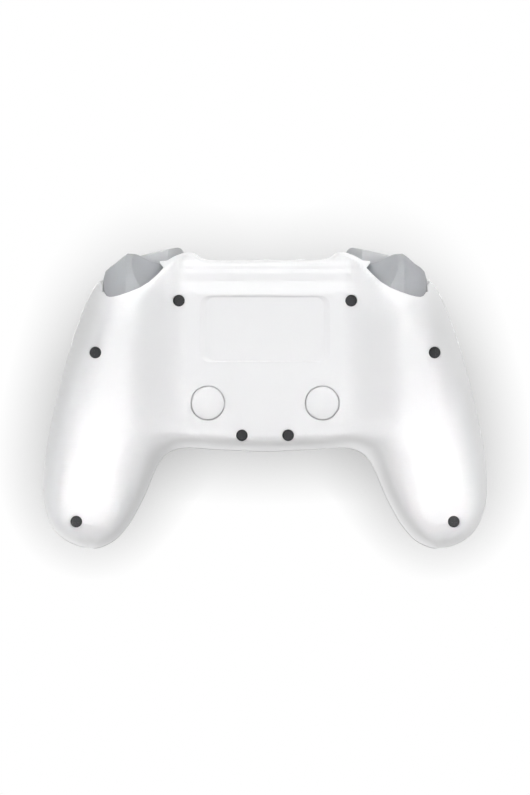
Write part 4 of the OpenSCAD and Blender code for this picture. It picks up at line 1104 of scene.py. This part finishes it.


# %% Paper
# Painted shadow: the paper's emission is darkened by ambient occlusion near the pad and less so toward +Y.
# No lamp casts it.
PAPER_Z, PAINTED_SHADOW_REACH, PAINTED_SHADOW_LOW, PAINTED_SHADOW_HIGH, PAINTED_SHADOW_FROM, PAINTED_SHADOW_TO = 0.042, 0.022, 0.68, 0.4, 0.01, 0.05
paper, tree, shader_in = stage_surface("paper", ["Is Camera Ray", "Is Glossy Ray", "Is Transmission Ray"])
painted_shadow_occlusion = tree.nodes.new("ShaderNodeAmbientOcclusion")
painted_shadow_occlusion.inputs["Distance"].default_value = PAINTED_SHADOW_REACH
painted_shadow_occlusion.samples = 16
closed = math_node(tree, "SUBTRACT", 1.0, painted_shadow_occlusion.outputs["AO"])
painted_shadow_glow = tree.nodes.new("ShaderNodeEmission")
place = tree.nodes.new("ShaderNodeSeparateXYZ")
tree.links.new(tree.nodes.new("ShaderNodeTexCoord").outputs["Object"], place.inputs[0])
depth = tree.nodes.new("ShaderNodeMapRange")
for key, value in (
    ("From Min", PAINTED_SHADOW_FROM), ("From Max", PAINTED_SHADOW_TO), ("To Min", PAINTED_SHADOW_LOW), ("To Max", PAINTED_SHADOW_HIGH),
):
    depth.inputs[key].default_value = value
tree.links.new(place.outputs["Y"], depth.inputs["Value"])
shade = math_node(tree, "MULTIPLY", closed, depth.outputs[0])
wire(tree, (
    (math_node(tree, "SUBTRACT", 1.0, shade), painted_shadow_glow.inputs["Strength"]), (painted_shadow_glow.outputs[0], shader_in),
))
stage_plane("paper", PAPER_Z, -1, paper)

# %% Floor
FLOOR_Z, FADE_FROM, FADE_TO = 0.0, 0.1, 0.6
floor, tree, shader_in = stage_surface("floor", ["Is Camera Ray"])
matt = tree.nodes.new("ShaderNodeBsdfDiffuse")
matt.inputs["Color"].default_value = (0.85, 0.85, 0.85, 1)
white = tree.nodes.new("ShaderNodeEmission")
away = tree.nodes.new("ShaderNodeVectorMath")
away.operation = "LENGTH"
fade = tree.nodes.new("ShaderNodeMapRange")
fade.interpolation_type = "SMOOTHSTEP"
for key, value in (("From Min", FADE_FROM), ("From Max", FADE_TO)):
    fade.inputs[key].default_value = value
sweep = tree.nodes.new("ShaderNodeMixShader")
wire(tree, (
    (tree.nodes.new("ShaderNodeTexCoord").outputs["Object"], away.inputs[0]),
    (away.outputs["Value"], fade.inputs["Value"]), (fade.outputs[0], sweep.inputs[0]),
    (matt.outputs[0], sweep.inputs[1]), (white.outputs[0], sweep.inputs[2]), (sweep.outputs[0], shader_in),
))
stage_plane("floor", FLOOR_Z, 1, floor)

# %% [markdown]
# ## Light
# Each grip has three small soft boxes with a grid in front of them, which keeps the beam narrow: they
# whiten the round back of that grip and leave the flat panel a little greyer. One more lifts each
# trigger's outer face, and one each the panel, the bands under the top edge and the edge itself. Two
# large boxes fill from the camera's side, and two more light the face for the other views. The world
# is a plain pale dome.

# %% Lamps
def soft_box(name, place, aim, size, level, beam=180):
    """An area lamp aimed at a point, with the share of white that it gives a surface facing it there."""
    data = bpy.data.lights.new(name, "AREA")
    data.shape = "RECTANGLE"
    data.size, data.size_y = size
    toward = Vector(aim) - Vector(place)
    data.energy = level * math.pi**2 * toward.length_squared
    if beam < 180:
        half = math.radians(beam) / 2
        data.spread = 2 * half
        data.energy *= 1 - half / math.tan(half)
    lamp = bpy.data.objects.new(name, data)
    lamp.location = place
    lamp.rotation_euler = toward.to_track_quat("-Z", "Y").to_euler()
    bpy.context.scene.collection.objects.link(lamp)


GRIP_BOXES = [("high", 0.052, 0.003, 0.24), ("middle", 0.056, -0.015, 0.3), ("low", 0.062, -0.037, 0.56)]
for side_name, side in SIDES.items():
    for part, x, y, level in GRIP_BOXES:
        place, aim = (side * (x + 0.18), y, -0.5), (side * x, y, 0)
        soft_box(f"{side_name}_{part}_grip_box", place, aim, (0.02, 0.02), level, 6.5)
    place, aim = (side * 0.12, -0.16, -0.5), (side * 0.047, 0.044, 0.004)
    soft_box(f"{side_name}_trigger_box", place, aim, (0.02, 0.02), 0.78, 4.2)
    soft_box(f"{side_name}_fill_box", (side * 0.35, 0.12, -1.0), (0, 0, 0), (0.4, 0.6), 0.13)
soft_box("panel_box", (0, -0.12, -0.6), (0, -0.01, 0.009), (0.04, 0.03), 0.19, 8)
soft_box("top_box", (0, 0.3, -0.45), (0, 0.036, 0.01), (0.2, 0.06), 0.5, 20)
soft_box("edge_box", (0, 0.5, -0.2), (0, 0.05, 0.02), (0.1, 0.04), 1.0, 10)
soft_box("face_box", (0.3, -0.5, 1.1), (0, 0, 0), (0.9, 0.9), 0.45)
soft_box("far_face_box", (-0.5, 0.5, 1.0), (0, 0, 0), (0.9, 0.9), 0.25)
print("lamps:", len(bpy.data.lights))

# %% World
WORLD_LIGHT, WORLD_SEEN = 0.4, 1.0
world = bpy.data.worlds.new("world")
bpy.context.scene.world = world
world.use_nodes = True
tree = world.node_tree
path = tree.nodes.new("ShaderNodeLightPath").outputs
seen = math_node(tree, "MAXIMUM", path["Is Camera Ray"], path["Is Transmission Ray"])
seen = math_node(tree, "MAXIMUM", seen, path["Is Glossy Ray"])
strength = math_node(tree, "MULTIPLY_ADD", seen, WORLD_SEEN - WORLD_LIGHT)
strength.node.inputs[2].default_value = WORLD_LIGHT
tree.nodes["Background"].inputs["Color"].default_value = (1, 1, 1, 1)
tree.links.new(strength, tree.nodes["Background"].inputs["Strength"])
print("world light:", WORLD_LIGHT)
